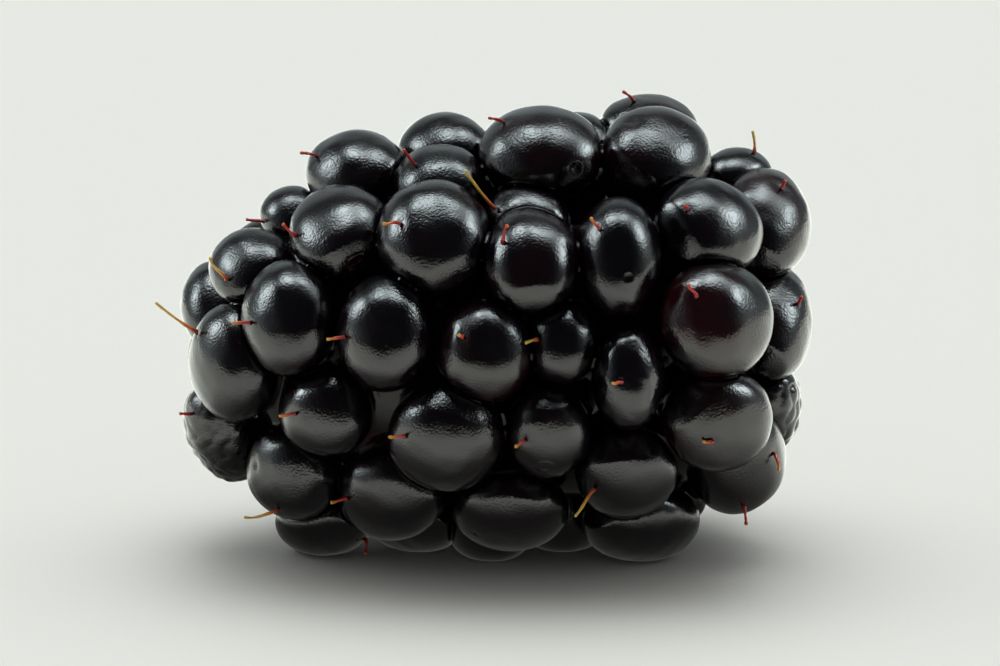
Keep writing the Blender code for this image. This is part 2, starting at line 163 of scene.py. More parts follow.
TOP_ROW = (
    Seen(-6.92, 7.75, 2.30, 1.95, deeper=-1.0),
    Seen(-2.7, 8.8, 2.10, 1.75, deeper=0.6),
    Seen(2.0, 8.65, 2.80, 2.20, deeper=-1.0, redness=0.2),
    Seen(3.6, 9.1, 1.85, 1.48, deeper=2.2),
    Seen(7.2, 9.85, 2.27, 1.60, deeper=2.1, redness=0.3),
    Seen(7.5, 8.5, 2.55, 2.30, redness=0.2),
    Seen(11.5, 7.6, 1.62, 1.30, deeper=2.4),
)
SECOND_ROW = (
    Seen(-10.1, 5.8, 1.40, 1.28, deeper=0.8),
    Seen(-7.7, 4.9, 2.30, 2.15, deeper=-0.3, nod=-0.14),
    Seen(-2.9, 7.2, 2.15, 1.80, deeper=0.9),
    Seen(-3.2, 4.6, 2.60, 2.60, deeper=-0.9, nod=0.09),
    Seen(1.3, 5.3, 1.95, 1.85, deeper=0.9),
    Seen(1.5, 3.5, 2.25, 2.40, deeper=-0.8, nod=-0.09, redness=0.25),
    Seen(5.7, 3.6, 2.00, 2.75, nod=0.14),
    Seen(10.1, 5.1, 2.50, 2.15, roll=-25.0, deeper=-0.3),
    Seen(12.8, 5.3, 2.10, 2.50, deeper=0.4, redness=0.6),
)
MIDDLE_ROW = (
    Seen(-13.85, 1.4, 1.50, 1.95, deeper=1.2),
    Seen(-11.95, 3.1, 2.00, 1.85),
    Seen(-10.2, 0.7, 2.20, 2.60, deeper=-0.3),
    Seen(-5.5, 0.0, 2.25, 2.65, deeper=-0.3),
    Seen(-0.7, -0.9, 2.20, 2.35, deeper=-0.3, redness=0.2),
    Seen(3.0, -0.4, 1.75, 2.00, deeper=0.3, nod=-0.14),
    Seen(6.2, -2.1, 1.65, 2.40, nod=-0.1, wither=0.3),
    Seen(10.4, 0.6, 2.60, 2.70, deeper=-0.4, redness=0.55),
    Seen(13.12, 0.65, 1.84, 2.70, deeper=0.6, redness=0.2),
)
FOURTH_ROW = (
    Seen(-13.3, -4.75, 1.72, 2.36, roll=25.0, deeper=1.2, nod=-0.13, wither=0.6),
    Seen(-12.7, -1.4, 2.15, 2.70, nod=-0.05),
    Seen(-8.4, -3.8, 2.15, 2.00, deeper=0.3, nod=-0.22),
    Seen(-2.6, -5.0, 2.65, 2.45, deeper=-0.4, nod=-0.06),
    Seen(2.3, -4.8, 1.95, 2.10),
    Seen(10.5, -4.2, 2.50, 2.35, deeper=-0.4, nod=-0.06, redness=0.2),
    Seen(13.15, -3.6, 1.35, 2.00, deeper=1.8, wither=1.0),
)
BOTTOM_ROW = (
    Seen(-9.9, -6.6, 2.20, 2.25, deeper=-0.8, nod=-0.22),
    Seen(-8.55, -8.9, 2.18, 1.52, deeper=0.6),
    Seen(-5.2, -7.6, 2.50, 2.25, nod=-0.09),
    Seen(-4.0, -9.7, 2.25, 1.45, deeper=1.5),
    Seen(0.5, -8.5, 2.60, 1.90, deeper=-1.0, nod=0.1),
    Seen(6.1, -6.7, 2.30, 2.10, nod=0.13),
    Seen(6.8, -9.05, 2.66, 1.86, deeper=-0.5),
    Seen(11.4, -6.05, 2.27, 2.52, deeper=1.0, redness=0.15),
    Seen(8.85, -8.1, 1.05, 1.00, deeper=2.6),
)
NEAR_SIDE = TOP_ROW + SECOND_ROW + MIDDLE_ROW + FOURTH_ROW + BOTTOM_ROW

NEAR_STYLES = (
    SeenStyle((-8.9, 8.6), (-9.7, 8.7), tint=Tint.RED),
    SeenStyle((0.2, 10.2), (-0.6, 10.4), tint=Tint.RED),
    SeenStyle((6.5, 11.2), (5.9, 11.7), tint=Tint.RED),
    SeenStyle((12.3, 8.7), (12.2, 9.8), tint=Tint.STRAW),
    SeenStyle((13.6, 7.0), (13.8, 7.4), tint=Tint.RED),
    SeenStyle((14.4, 1.4), (14.6, 1.8), tint=Tint.RED),
    SeenStyle((11.8, -8.4), (11.9, -9.3), tint=Tint.RED),
    SeenStyle((13.3, -5.8), (13.45, -6.7), tint=Tint.AMBER),
    SeenStyle((10.3, -5.3), (9.8, -5.2), tint=Tint.AMBER),
    SeenStyle((9.5, 1.7), (9.1, 2.4), tint=Tint.RED),
    SeenStyle((9.1, 6.0), (8.9, 6.2), tint=Tint.RED),
    SeenStyle((4.8, 5.0), (4.4, 5.6), tint=Tint.AMBER),
    SeenStyle((0.1, 4.4), (0.4, 5.2), stand=0.8, tint=Tint.RED),
    SeenStyle((-0.2, 5.95), (-1.7, 7.9), stand=1.6, tint=Tint.STRAW),
    SeenStyle((-4.1, 8.1), (-4.7, 8.9), stand=0.7, tint=Tint.RED),
    SeenStyle((-4.8, 5.3), (-5.7, 5.3)),
    SeenStyle((-9.9, 4.7), (-10.5, 5.3), tint=Tint.RED),
    SeenStyle((-11.4, 5.4), (-12.3, 5.5), tint=Tint.RED),
    SeenStyle((-13.2, 2.5), (-14.0, 3.7), stand=0.6, tint=Tint.STRAW),
    SeenStyle((-14.6, 0.0), (-16.7, 1.5), stand=0.8, tint=Tint.STRAW),
    SeenStyle((-12.1, 0.5), (-13.0, 0.5)),
    SeenStyle((-7.5, -0.2), (-8.4, -0.3)),
    SeenStyle((-1.8, -0.2), (-2.0, -0.1)),
    SeenStyle((1.8, -0.3), (1.2, -0.5), stand=0.6, tint=Tint.STRAW),
    SeenStyle((5.9, -2.4), (5.4, -2.4)),
    SeenStyle((1.2, -5.2), (0.7, -5.5)),
    SeenStyle((-4.6, -5.0), (-5.4, -5.0)),
    SeenStyle((-9.9, -3.9), (-10.7, -4.0)),
    SeenStyle((-15.0, -3.9), (-15.5, -3.9), tint=Tint.RED),
    SeenStyle((-7.4, -8.0), (-8.2, -8.2)),
    SeenStyle((4.6, -7.5), (3.6, -8.9), stand=0.9, tint=Tint.STRAW),
    SeenStyle((-10.7, -8.6), (-12.4, -8.9), stand=0.5, tint=Tint.STRAW),
    SeenStyle((-6.1, -10.3), (-6.5, -10.7), tint=Tint.RED),
)


@dataclass(frozen=True)
class Layout:
    """The berry's outline, and the rule that places its drupelets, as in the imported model.

    Args:
        widest: place along the berry's own axis where it is widest, in millimetres.
        apex_reach: how far the layer of drupelet centres reaches from there to the apex.
        stem_reach: how far it reaches to the stem end.
        girth: its radius where it is widest.
        fullness: 2 gives an ellipsoid, and more gives a barrel.
        axis_tilt: how far the axis leans.
        drupelet: half width of a usual drupelet.
        far_sizes: least and greatest half width of a far drupelet.
        far_fill: a far drupelet's half width, as a share of the way to its neighbours.
        spacing: room between neighbours, as a share of their half widths.
        crowded: a far drupelet with less than this share of its room is left out.
        roomy: another one is added where it has at least this share.
        hidden_core: far drupelets are hidden by the near side out to this share of them.
        hidden_whole: those hidden out to this share keep their place and size.
        sunk: how much deeper the others stand, as a share of a drupelet.
        shrunk: how much smaller they are.
        lattice: places that the far side starts from.
        fine_lattice: places that are tried for one more.
        plump: how much fuller the near drupelets are than they look.
        lean: how far a near drupelet follows the slope of the layer.
        steepest: greatest slope that it follows, across and up.
        search: how far before and behind the middle the layer is looked for, and in what steps.
        scar: the stem scar's place.
        scar_radius: its radius.
        scar_depth: its depth.
        pressed: how much the fruit's weight presses its lowest drupelets flat.
        resting: how many drupelets it rests on.
        centring: how far the layout moves along X and Y.
        eye_distance: how far the eye is from the middle.
        eye_tilt: how far it looks down.
    """

    widest: float = 5.0
    apex_reach: float = 18.6
    stem_reach: float = 8.0
    girth: float = 9.0
    fullness: float = 2.5
    axis_tilt: float = math.radians(3.0)
    drupelet: float = 2.3
    far_sizes: tuple[float, float] = (1.9, 2.75)
    far_fill: float = 0.54
    spacing: float = 0.97
    crowded: float = 0.80
    roomy: float = 0.80
    hidden_core: float = 0.45
    hidden_whole: float = 1.05
    sunk: float = 0.45
    shrunk: float = 0.8
    lattice: int = 104
    fine_lattice: int = 600
    plump: float = 1.05
    lean: float = 0.55
    steepest: tuple[float, float] = (0.48, 0.68)
    search: tuple[float, float] = (14.0, 0.02)
    scar: tuple[float, float, float] = (11.2, 4.4, 0.9)
    scar_radius: float = 2.3
    scar_depth: float = 1.2
    pressed: float = 0.12
    resting: int = 8
    centring: tuple[float, float] = (0.76, 0.17)
    eye_distance: float = 235.0
    eye_tilt: float = math.radians(12.0)

    @property
    def right(self) -> Array:
        """Direction across the near side."""
        return np.array((1.0, 0.0, 0.0))

    @property
    def up(self) -> Array:
        """Direction up the near side, square to the eye's line."""
        return np.array((0.0, math.sin(self.eye_tilt), math.cos(self.eye_tilt)))

    @property
    def toward(self) -> Array:
        """Direction from the berry's middle towards the eye."""
        return np.array((0.0, -math.cos(self.eye_tilt), math.sin(self.eye_tilt)))

    def along_axis(self, points: Array) -> Array:
        """Points seen from the widest place of the berry's own tilted axis."""
        turn = np.array(Matrix.Rotation(self.axis_tilt, 3, "Y"))
        return points @ turn.T - np.array((self.widest, 0.0, 0.0))

    def from_axis(self, points: Array) -> Array:
        """The way back from along_axis."""
        turn = np.array(Matrix.Rotation(self.axis_tilt, 3, "Y"))
        return (points + np.array((self.widest, 0.0, 0.0))) @ turn

    def outness(self, local: Array) -> Array:
        """How far out points on the berry's own axis lie: 1 on the layer of drupelet centres.

        Args:
            local: places seen from the axis's widest place, in millimetres.

        Returns:
            How far out each one lies.
        """
        reach = np.where(local[..., 0] < 0.0, self.apex_reach, self.stem_reach)
        length = np.abs(local[..., 0]) / reach
        girth = np.hypot(local[..., 1], local[..., 2]) / self.girth
        return (length**self.fullness + girth**self.fullness) ** (1.0 / self.fullness)

    def onto_layer(self, points: Array, outside: float | Array = 0.0) -> Array:
        """Points moved straight from the berry's heart onto the layer of centres, or so far outside it.

        Args:
            points: places, in millimetres.
            outside: how far outside the layer they end up.

        Returns:
            The moved points.
        """
        local = self.along_axis(points)
        local = local / self.outness(local)[..., None]
        distance = np.linalg.norm(local, axis=-1)[..., None]
        return self.from_axis(local * (1.0 + outside / distance))

    def outward(self, point: Array) -> Array:
        """Unit direction that points straight out of the berry at a point.

        Args:
            point: a place, in millimetres.

        Returns:
            The direction.
        """
        step = 0.01
        slope = [self.outness(self.along_axis(point + step * axis))
                 - self.outness(self.along_axis(point - step * axis)) for axis in np.eye(3)]
        return np.array(slope) / np.linalg.norm(slope)

    def sight_line(self, across: float, up: float) -> tuple[Array, Array]:
        """Line from the eye through a place on the berry's middle plane.

        Args:
            across: place along the berry.
            up: place up its face.

        Returns:
            The eye, and the unit direction of the line.
        """
        eye = self.eye_distance * self.toward
        direction = across * self.right + up * self.up - eye
        return eye, direction / np.linalg.norm(direction)

    def near_drupelet(self, seen: Seen) -> Drupelet:
        """Ellipsoid of a drupelet of the near side, at the depth where its sight line meets the layer.

        Args:
            seen: how the drupelet looks from the eye.

        Returns:
            The ellipsoid.
        """
        eye, direction = self.sight_line(seen.across, seen.up)
        half, step = self.search
        travel = np.arange(-half, half, step) + self.eye_distance
        out = self.outness(self.along_axis(eye + travel[:, None] * direction))
        meets = np.nonzero(out <= 1.0)[0]
        first = meets[0] if len(meets) else int(np.argmin(out))
        depth = travel[first] + seen.deeper
        nearness = depth / self.eye_distance
        roll = math.radians(seen.roll)
        wide_way = math.cos(roll) * self.right + math.sin(roll) * self.up
        tall_way = math.cos(roll) * self.up - math.sin(roll) * self.right
        centre = eye + depth * direction
        out = self.outward(centre)
        facing = max(0.05, out @ self.toward)
        wide_slope, tall_slope = (
            self.lean * float(np.clip(-(out @ way) / facing, -steepest, steepest))
            for way, steepest in zip((wide_way, tall_way), self.steepest))
        axes = np.column_stack((seen.wide * (wide_way + wide_slope * self.toward),
                                seen.tall * (tall_way + (tall_slope + seen.nod) * self.toward),
                                max(seen.wide, seen.tall) * self.toward))
        return Drupelet(centre, self.plump * nearness * axes, seen.redness, seen.wither, True)

    def lattice_points(self, count: int) -> Array:
        """Points spread evenly over a ball in one winding row, stretched onto the layer of centres.

        Args:
            count: how many.

        Returns:
            The points, in millimetres.
        """
        index = np.arange(count) + 0.5
        along = 1.0 - 2.0 * index / count
        around = index * math.pi * (3.0 - math.sqrt(5.0))
        ring = np.sqrt(1.0 - along**2)
        ball = np.column_stack((along, ring * np.cos(around), ring * np.sin(around)))
        ball[:, 0] *= np.where(ball[:, 0] < 0.0, self.apex_reach, self.stem_reach)
        ball[:, 1:] *= self.girth
        return self.onto_layer(self.from_axis(ball))

    def far_and_fixed(self, centres: Array, fixed_widths: Array) -> Array:
        """Half widths of the far drupelets and of the fixed ones, in one row."""
        return np.concatenate((np.full(len(centres), self.drupelet), fixed_widths))

    def room(self, places: Array, others: Array, widths: Array) -> Array:
        """Each place's distance to its nearest neighbour, as a share of the spacing of the two.

        Args:
            places: the places.
            others: the neighbours' centres.
            widths: their half widths.

        Returns:
            One share for each place.
        """
        distance = np.linalg.norm(places[:, None] - others[None], axis=2)
        distance[distance < 1e-6] = np.inf
        return (distance / (self.spacing * (self.drupelet + widths))).min(axis=1)

    def relaxed(self, centres: Array, fixed: Array, fixed_widths: Array, rounds: int = 12) -> Array:
        """Centres after they have pushed each other apart, and away from the fixed ones, a few times.

        Args:
            centres: centres of the far drupelets.
            fixed: centres that stay.
            fixed_widths: half widths of those.
            rounds: how many times they push.

        Returns:
            The moved centres.
        """
        wanted = self.spacing * (self.drupelet + self.far_and_fixed(centres, fixed_widths))
        own = np.arange(len(centres))
        for _ in range(rounds):
            apart = centres[:, None] - np.vstack((centres, fixed))[None]
            distance = np.linalg.norm(apart, axis=2) + 1e-9
            push = np.clip(wanted[None] - distance, 0.0, None) / distance
            push[own, own] = 0.0
            centres = self.onto_layer(centres + 0.3 * (apart * push[..., None]).sum(axis=1))
        return centres

    def unseen(self, points: Array, near: Sequence[Drupelet]) -> Array:
        """Which points lie behind drupelets of the near side, seen from the eye.

        Args:
            points: the points, in millimetres.
            near: the near side's drupelets.

        Returns:
            True for each point that is hidden.
        """
        eye = self.eye_distance * self.toward
        hidden = np.zeros(len(points), dtype=bool)
        for drupelet in near:
            to_ball = np.linalg.inv(drupelet.axes).T
            start = (eye - drupelet.centre) @ to_ball
            way = (points - drupelet.centre) @ to_ball - start
            share = -(way @ start) / (way**2).sum(axis=1)
            passing = np.linalg.norm(start + share[:, None] * way, axis=1)
            hidden |= (passing < 1.0) & (share < 1.0)
        return hidden & np.array([self.outward(point) @ self.toward < 0.1 for point in points])

    def thinned(self, centres: Array, fixed: Array, fixed_widths: Array) -> Array:
        """Centres after the most crowded ones are left out, one by one, and the others have spread.

        Args:
            centres: centres of the far drupelets.
            fixed: centres that stay.
            fixed_widths: half widths of those.

        Returns:
            The centres that are left.
        """
        while True:
            centres = self.relaxed(centres, fixed, fixed_widths)
            widths = self.far_and_fixed(centres, fixed_widths)
            share = self.room(centres, np.vstack((centres, fixed)), widths)
            worst = int(np.argmin(share))
            if share[worst] >= self.crowded:
                return centres
            centres = np.delete(centres, worst, axis=0)

    def covered(self, centres: Array, near: Sequence[Drupelet], reach: float) -> Array:
        """Which centres leave their drupelet, out to that share of it, behind the near side.

        Args:
            centres: centres of far drupelets.
            near: the near side's drupelets.
            reach: the share of the drupelet that has to be hidden.

        Returns:
            True for each centre that is covered.
        """
        outwards = np.array([self.outward(centre) for centre in centres])
        upwards = np.maximum(outwards @ self.up, 0.0)
        sideways = np.outer(outwards @ self.right, self.right) + np.outer(upwards, self.up)
        sideways *= reach * self.drupelet
        diagonal = 0.7 * sideways
        around = np.cross(self.toward, diagonal)
        hidden = self.unseen(centres + sideways, near)
        hidden &= self.unseen(centres + diagonal + around, near)
        return hidden & self.unseen(centres + diagonal - around, near)

    def far_centres(self, near: Sequence[Drupelet], fixed: Array, fixed_widths: Array) -> Array:
        """Centres of the drupelets that the near side hides, spaced evenly beside the fixed ones.

        Args:
            near: the near side's drupelets.
            fixed: centres that stay.
            fixed_widths: half widths of those.

        Returns:
            The centres.
        """
        centres = self.thinned(self.lattice_points(self.lattice), fixed, fixed_widths)
        centres = centres[self.covered(centres, near, self.hidden_core)]
        places = self.lattice_points(self.fine_lattice)
        places = places[self.covered(places, near, self.hidden_core)]
        while True:
            widths = self.far_and_fixed(centres, fixed_widths)
            share = self.room(places, np.vstack((centres, fixed)), widths)
            widest = int(np.argmax(share))
            if share[widest] < self.roomy:
                return centres[self.covered(centres, near, self.hidden_core)]
            centres = self.relaxed(np.vstack((centres, places[widest])), fixed, fixed_widths)

    def far_drupelet(self, centre: Array, number: int, others: Array) -> Drupelet:
        """Ellipsoid of a far drupelet: it fills the room between its neighbours, and lies a little aslant.

        Args:
            centre: its centre, in millimetres.
            number: its number, for its own size and slant.
            others: centres of all drupelets.

        Returns:
            The ellipsoid.
        """
        out = self.outward(centre)
        along = self.right - out * (self.right @ out)
        along = along / np.linalg.norm(along)
        around = np.cross(out, along)
        slant = 0.5 * math.sin(1.7 * number)
        first = math.cos(slant) * along + math.sin(slant) * around
        second = np.cross(out, first)
        distance = np.sort(np.linalg.norm(others - centre, axis=1))[1:6]
        size = float(np.clip(self.far_fill * distance.mean(), *self.far_sizes))
        variety = 0.06 * math.sin(2.4 * number)
        axes = np.column_stack((size * (1.0 + variety) * first, size * (1.0 - variety) * second, size * out))
        redness = max(0.0, 0.75 * math.sin(3.1 * number) - 0.2)
        return Drupelet(centre, axes, redness, 0.0, False)

    def settle(self, drupelets: Sequence[Drupelet]) -> Array:
        """Set the berry down with its lowest drupelets at one level.

        Args:
            drupelets: all of them; their centres are moved.

        Returns:
            How far the layout moved.
        """
        lowest = sorted(drupelets, key=Drupelet.bottom)[: self.resting]
        level = sum(drupelet.bottom() for drupelet in lowest) / self.resting
        for drupelet in lowest:
            drupelet.centre[2] += level - drupelet.bottom()
        move = np.array((*self.centring, -level - self.pressed))
        for drupelet in drupelets:
            drupelet.centre += move
        return move

    def drupelets(self) -> tuple[list[Drupelet], list[Drupelet], Array]:
        """All drupelets, set down on the surface.

        Returns:
            The near side's drupelets, the others, and how far the layout moved.
        """
        near = [self.near_drupelet(seen) for seen in NEAR_SIDE]
        scar = self.onto_layer(np.array(self.scar))
        fixed = np.array([drupelet.centre for drupelet in near] + [scar])
        fixed_widths = np.array([drupelet.half_width() for drupelet in near] + [self.scar_radius])
        centres = self.far_centres(near, fixed, fixed_widths)
        others = np.vstack((fixed, centres))
        far = [self.far_drupelet(centre, number, others) for number, centre in enumerate(centres)]
        for drupelet, free in zip(far, self.covered(centres, near, self.hidden_whole)):
            if not free:
                drupelet.centre -= self.sunk * self.drupelet * self.outward(drupelet.centre)
                drupelet.axes *= self.shrunk
        move = self.settle(near + far)
        return near, far, move


# --- Shared modelling steps ----------------------------------------------------------------------------
def deselect_all() -> None:
    """Leave object mode with nothing selected."""
    if bpy.context.object and bpy.context.object.mode != "OBJECT":
        bpy.ops.object.mode_set(mode="OBJECT")
    bpy.ops.object.select_all(action="DESELECT")


def only(thing: bpy.types.Object) -> None:
    """Select one object and make it the active one.

    Args:
        thing: the object.
    """
    deselect_all()
    thing.select_set(True)
    bpy.context.view_layer.objects.active = thing


def read_points(mesh: bpy.types.Mesh) -> Array:
    """A mesh's points, in millimetres.

    Args:
        mesh: the mesh.

    Returns:
        One row for each point.
    """
    points = np.empty(3 * len(mesh.vertices))
    mesh.vertices.foreach_get("co", points)
    return points.reshape(-1, 3) / MM


def write_points(mesh: bpy.types.Mesh, points: Array) -> None:
    """Move a mesh's points to places in millimetres."""
    mesh.vertices.foreach_set("co", (points * MM).ravel())
    mesh.update()


def add_point_values(mesh: bpy.types.Mesh, name: str, values: Array) -> None:
    """Store one number for each point, for the materials to read."""
    store = mesh.attributes.new(name, "FLOAT", "POINT")
    store.data.foreach_set("value", np.ascontiguousarray(values, dtype=np.float32))


def add_ball(name: str, subdivisions: int) -> bpy.types.Object:
    """Add an icosphere of radius 1 mm about the origin, as a start for a shaped piece.

    Args:
        name: the object's name.
        subdivisions: how finely it is divided.

    Returns:
        The ball.
    """
    deselect_all()
    bpy.ops.mesh.primitive_ico_sphere_add(subdivisions=subdivisions, radius=MM, location=(0.0, 0.0, 0.0))
    ball = bpy.context.object
    ball.name = name
    ball.data.name = name
    return ball


def join(things: Sequence[bpy.types.Object], name: str) -> bpy.types.Object:
    """Join objects into the first one and rename it.

    Args:
        things: the objects.
        name: the joined object's name.

    Returns:
        The joined object.
    """
    deselect_all()
    for thing in things:
        thing.select_set(True)
    bpy.context.view_layer.objects.active = things[0]
    bpy.ops.object.join()
    joined = bpy.context.object
    joined.name = name
    joined.data.name = name
    return joined


def skin_tree(things: Sequence[bpy.types.Object]) -> BVHTree:
    """A search tree over the surfaces of several objects, in millimetres.

    Args:
        things: the objects.

    Returns:
        The tree.
    """
    points = []
    faces = []
    for thing in things:
        start = len(points)
        points.extend(Vector(point) for point in read_points(thing.data))
        faces.extend(tuple(start + corner for corner in face.vertices) for face in thing.data.polygons)
    return BVHTree.FromPolygons(points, faces)


def ripples(points: Array, seed: int, shortest: float, longest: float, waves: int = 9) -> Array:
    """A smooth uneven field that swings between about -1 and 1.

    Args:
        points: places, in millimetres.
        seed: picks the field.
        shortest: shortest wave, in millimetres.
        longest: longest wave.
        waves: how many waves are summed.

    Returns:
        One value for each place.
    """
    draw = np.random.default_rng(seed)
    total = np.zeros(len(points))
    for _ in range(waves):
        way = draw.normal(size=3)
        way /= np.linalg.norm(way)
        length = draw.uniform(shortest, longest)
        total += np.sin(2.0 * math.pi * (points @ way) / length + draw.uniform(0.0, 2.0 * math.pi))
    return total / math.sqrt(waves)


# --- Finishes ------------------------------------------------------------------------------------------
class Nodes:
    """A small helper that adds and links nodes in a tree."""

    def __init__(self, tree: bpy.types.NodeTree) -> None:
        """Keep the node tree to build in."""
        self.tree = tree

    def add(self, kind: str, **settings: object) -> bpy.types.Node:
        """Add a node and set its own properties.

        Args:
            kind: the node's type.
            settings: its properties.

        Returns:
            The node.
        """
        node = self.tree.nodes.new(kind)
        for name, value in settings.items():
            setattr(node, name, value)
        return node

    def feed(self, node: bpy.types.Node, socket: str | int, source: object) -> None:
        """Link a socket to a source socket, or set its value to a number or colour.

        Args:
            node: the node that is fed.
            socket: its input.
            source: an output socket or a value.
        """
        if isinstance(source, Socket):
            self.tree.links.new(source, node.inputs[socket])
        else:
            node.inputs[socket].default_value = source

    def math(self, operation: str, first: object, second: object = 0.0, clamp: bool = False) -> Socket:
        """Work out a sum with a Math node.

        Args:
            operation: the node's operation.
            first: its first number.
            second: its second number.
            clamp: whether the result is kept from 0 to 1.

        Returns:
            The result.
        """
        node = self.add("ShaderNodeMath", operation=operation, use_clamp=clamp)
        self.feed(node, 0, first)
        self.feed(node, 1, second)
        return node.outputs[0]

    def remap(self, value: object, low: float, high: float,
              to_low: float = 0.0, to_high: float = 1.0) -> Socket:
        """Map a value smoothly from one range to another.

        Args:
            value: the value.
            low: start of its range.
            high: end of its range.
            to_low: result at the start.
            to_high: result at the end.

        Returns:
            The mapped value.
        """
        node = self.add("ShaderNodeMapRange", interpolation_type="SMOOTHSTEP")
        for socket, source in enumerate((value, low, high, to_low, to_high)):
            self.feed(node, socket, source)
        return node.outputs[0]

    def blend(self, share: object, first: object, second: object) -> Socket:
        """Mix two colours.

        Args:
            share: share of the second one.
            first: the first.
            second: the second.

        Returns:
            The mixed colour.
        """
        node = self.add("ShaderNodeMix", data_type="RGBA")
        self.feed(node, 0, share)
        self.feed(node, 6, first)
        self.feed(node, 7, second)
        return node.outputs[2]

    def noise(self, place: object, size: float, detail: float = 2.0) -> Socket:
        """Noise from 0 to 1.

        Args:
            place: where it is read.
            size: about how large its blotches are, in metres.
            detail: how many finer layers it has.

        Returns:
            The noise.
        """
        node = self.add("ShaderNodeTexNoise")
        self.feed(node, "Vector", place)
        self.feed(node, "Scale", 1.0 / size)
        self.feed(node, "Detail", detail)
        return node.outputs["Fac"]

    def cells(self, place: object, size: float) -> Socket:
        """Distance to the nearest of many cells, smooth where two of them meet.

        Args:
            place: where it is read.
            size: about how large the cells are, in metres.

        Returns:
            The distance, as a share of the size.
        """
        node = self.add("ShaderNodeTexVoronoi", feature="SMOOTH_F1")
        self.feed(node, "Vector", place)
        self.feed(node, "Scale", 1.0 / size)
        self.feed(node, "Smoothness", 0.35)
        return node.outputs["Distance"]

    def bump(self, height: object, depth: float, strength: object = 1.0, below: object = None) -> Socket:
        """Bend the surface's direction by a height field.

        Args:
            height: the field.
            depth: its full swing, in metres.
            strength: share of it that is used.
            below: direction that is already bent, if there is one.

        Returns:
            The bent direction.
        """
        node = self.add("ShaderNodeBump")
        self.feed(node, "Strength", strength)
        self.feed(node, "Distance", depth)
        self.feed(node, "Height", height)
        if below is not None:
            self.feed(node, "Normal", below)
        return node.outputs["Normal"]

    def attribute(self, name: str) -> Socket:
        """A number stored on the piece's points."""
        return self.add("ShaderNodeAttribute", attribute_name=name).outputs["Fac"]

    def place(self) -> Socket:
        """The place on the piece, in metres."""
        return self.add("ShaderNodeTexCoord").outputs["Object"]


def new_material(name: str) -> tuple[bpy.types.Material, Nodes, bpy.types.Node]:
    """Make an empty Principled material.

    Args:
        name: the material's name.

    Returns:
        The material, a node helper for it, and its shader.
    """
    material = bpy.data.materials.new(name)
    material.use_nodes = True
    return material, Nodes(material.node_tree), material.node_tree.nodes["Principled BSDF"]


@dataclass(frozen=True)
class SkinFinish:
    """Ripe skin: blue black with red in places, finely pebbled on its crown and smooth where it is wet.

    Args:
        black: its colour.
        red: its colour where it isn't quite ripe.
        cloud: size of the red clouds, in metres.
        pebble: size of the pebbles.
        grit: size of the finer grain between them.
        pebble_depth: their depth.
        patch: size of the patches where the pebbles are stronger or weaker.
        drift: size of the bends in the rows of pebbles, and how far they reach.
        wave: size of the low waves under the pebbles.
        wave_depth: their depth.
        roughness: usual roughness.
        worn: size of the duller patches.
    """

    black: Colour = (0.0024, 0.0014, 0.0026, 1.0)
    red: Colour = (0.022, 0.0012, 0.0030, 1.0)
    cloud: float = 0.0032
    pebble: float = 0.00013
    grit: float = 0.00011
    pebble_depth: float = 0.000012
    patch: float = 0.0027
    drift: tuple[float, float] = (0.0004, 0.00004)
    wave: float = 0.00075
    wave_depth: float = 0.000003
    roughness: float = 0.13
    worn: float = 0.0021

    def make(self) -> bpy.types.Material:
        """Make the material.

        Returns:
            The material.
        """
        material, nodes, shader = new_material("ripe_skin")
        place = nodes.place()
        crease = nodes.attribute("crease")
        redness = nodes.attribute("redness")
        cloud = nodes.noise(place, self.cloud, detail=1.0)
        share = nodes.math("MULTIPLY", redness, nodes.remap(cloud, 0.36, 0.66))
        nodes.feed(shader, "Base Color", nodes.blend(share, self.black, self.red))

        worn = nodes.noise(place, self.worn, detail=1.0)
        dull = nodes.remap(worn, 0.3, 0.7, self.roughness - 0.03, self.roughness + 0.05)
        wet = nodes.remap(crease, 0.2, 0.9)
        drier = nodes.math("SUBTRACT", 1.0, wet)
        dull = nodes.math("MULTIPLY", dull, drier)
        nodes.feed(shader, "Roughness", nodes.math("ADD", dull, 0.05, clamp=True))

        pebbles = nodes.math("MULTIPLY", nodes.cells(self.bent(nodes, place), self.pebble), 0.6)
        grit = nodes.math("MULTIPLY", nodes.noise(place, self.grit, detail=1.0), 1.1)
        height = nodes.math("SUBTRACT", grit, pebbles)
        patch = nodes.remap(nodes.noise(place, self.patch, detail=0.0), 0.38, 0.62, 0.6, 1.0)
        strength = nodes.math("MULTIPLY", patch, drier)
        waves = nodes.bump(nodes.noise(place, self.wave, detail=1.0), self.wave_depth, drier)
        nodes.feed(shader, "Normal", nodes.bump(height, self.pebble_depth, strength, waves))

        shader.inputs["IOR"].default_value = 1.47
        shader.inputs["Specular IOR Level"].default_value = 0.5
        return material

    def bent(self, nodes: Nodes, place: Socket) -> Socket:
        """Places moved a little to and fro, so that what is read there doesn't lie in straight rows.

        Args:
            nodes: the node helper.
            place: the places.

        Returns:
            The moved places.
        """
        size, reach = self.drift
        drift = nodes.add("ShaderNodeTexNoise")
        nodes.feed(drift, "Vector", place)
        nodes.feed(drift, "Scale", 1.0 / size)
        warp = nodes.add("ShaderNodeVectorMath", operation="SCALE")
        nodes.feed(warp, 0, drift.outputs["Color"])
        nodes.feed(warp, "Scale", reach)
        bent = nodes.add("ShaderNodeVectorMath", operation="ADD")
        nodes.feed(bent, 0, place)
        nodes.feed(bent, 1, warp.outputs[0])
        return bent.outputs[0]


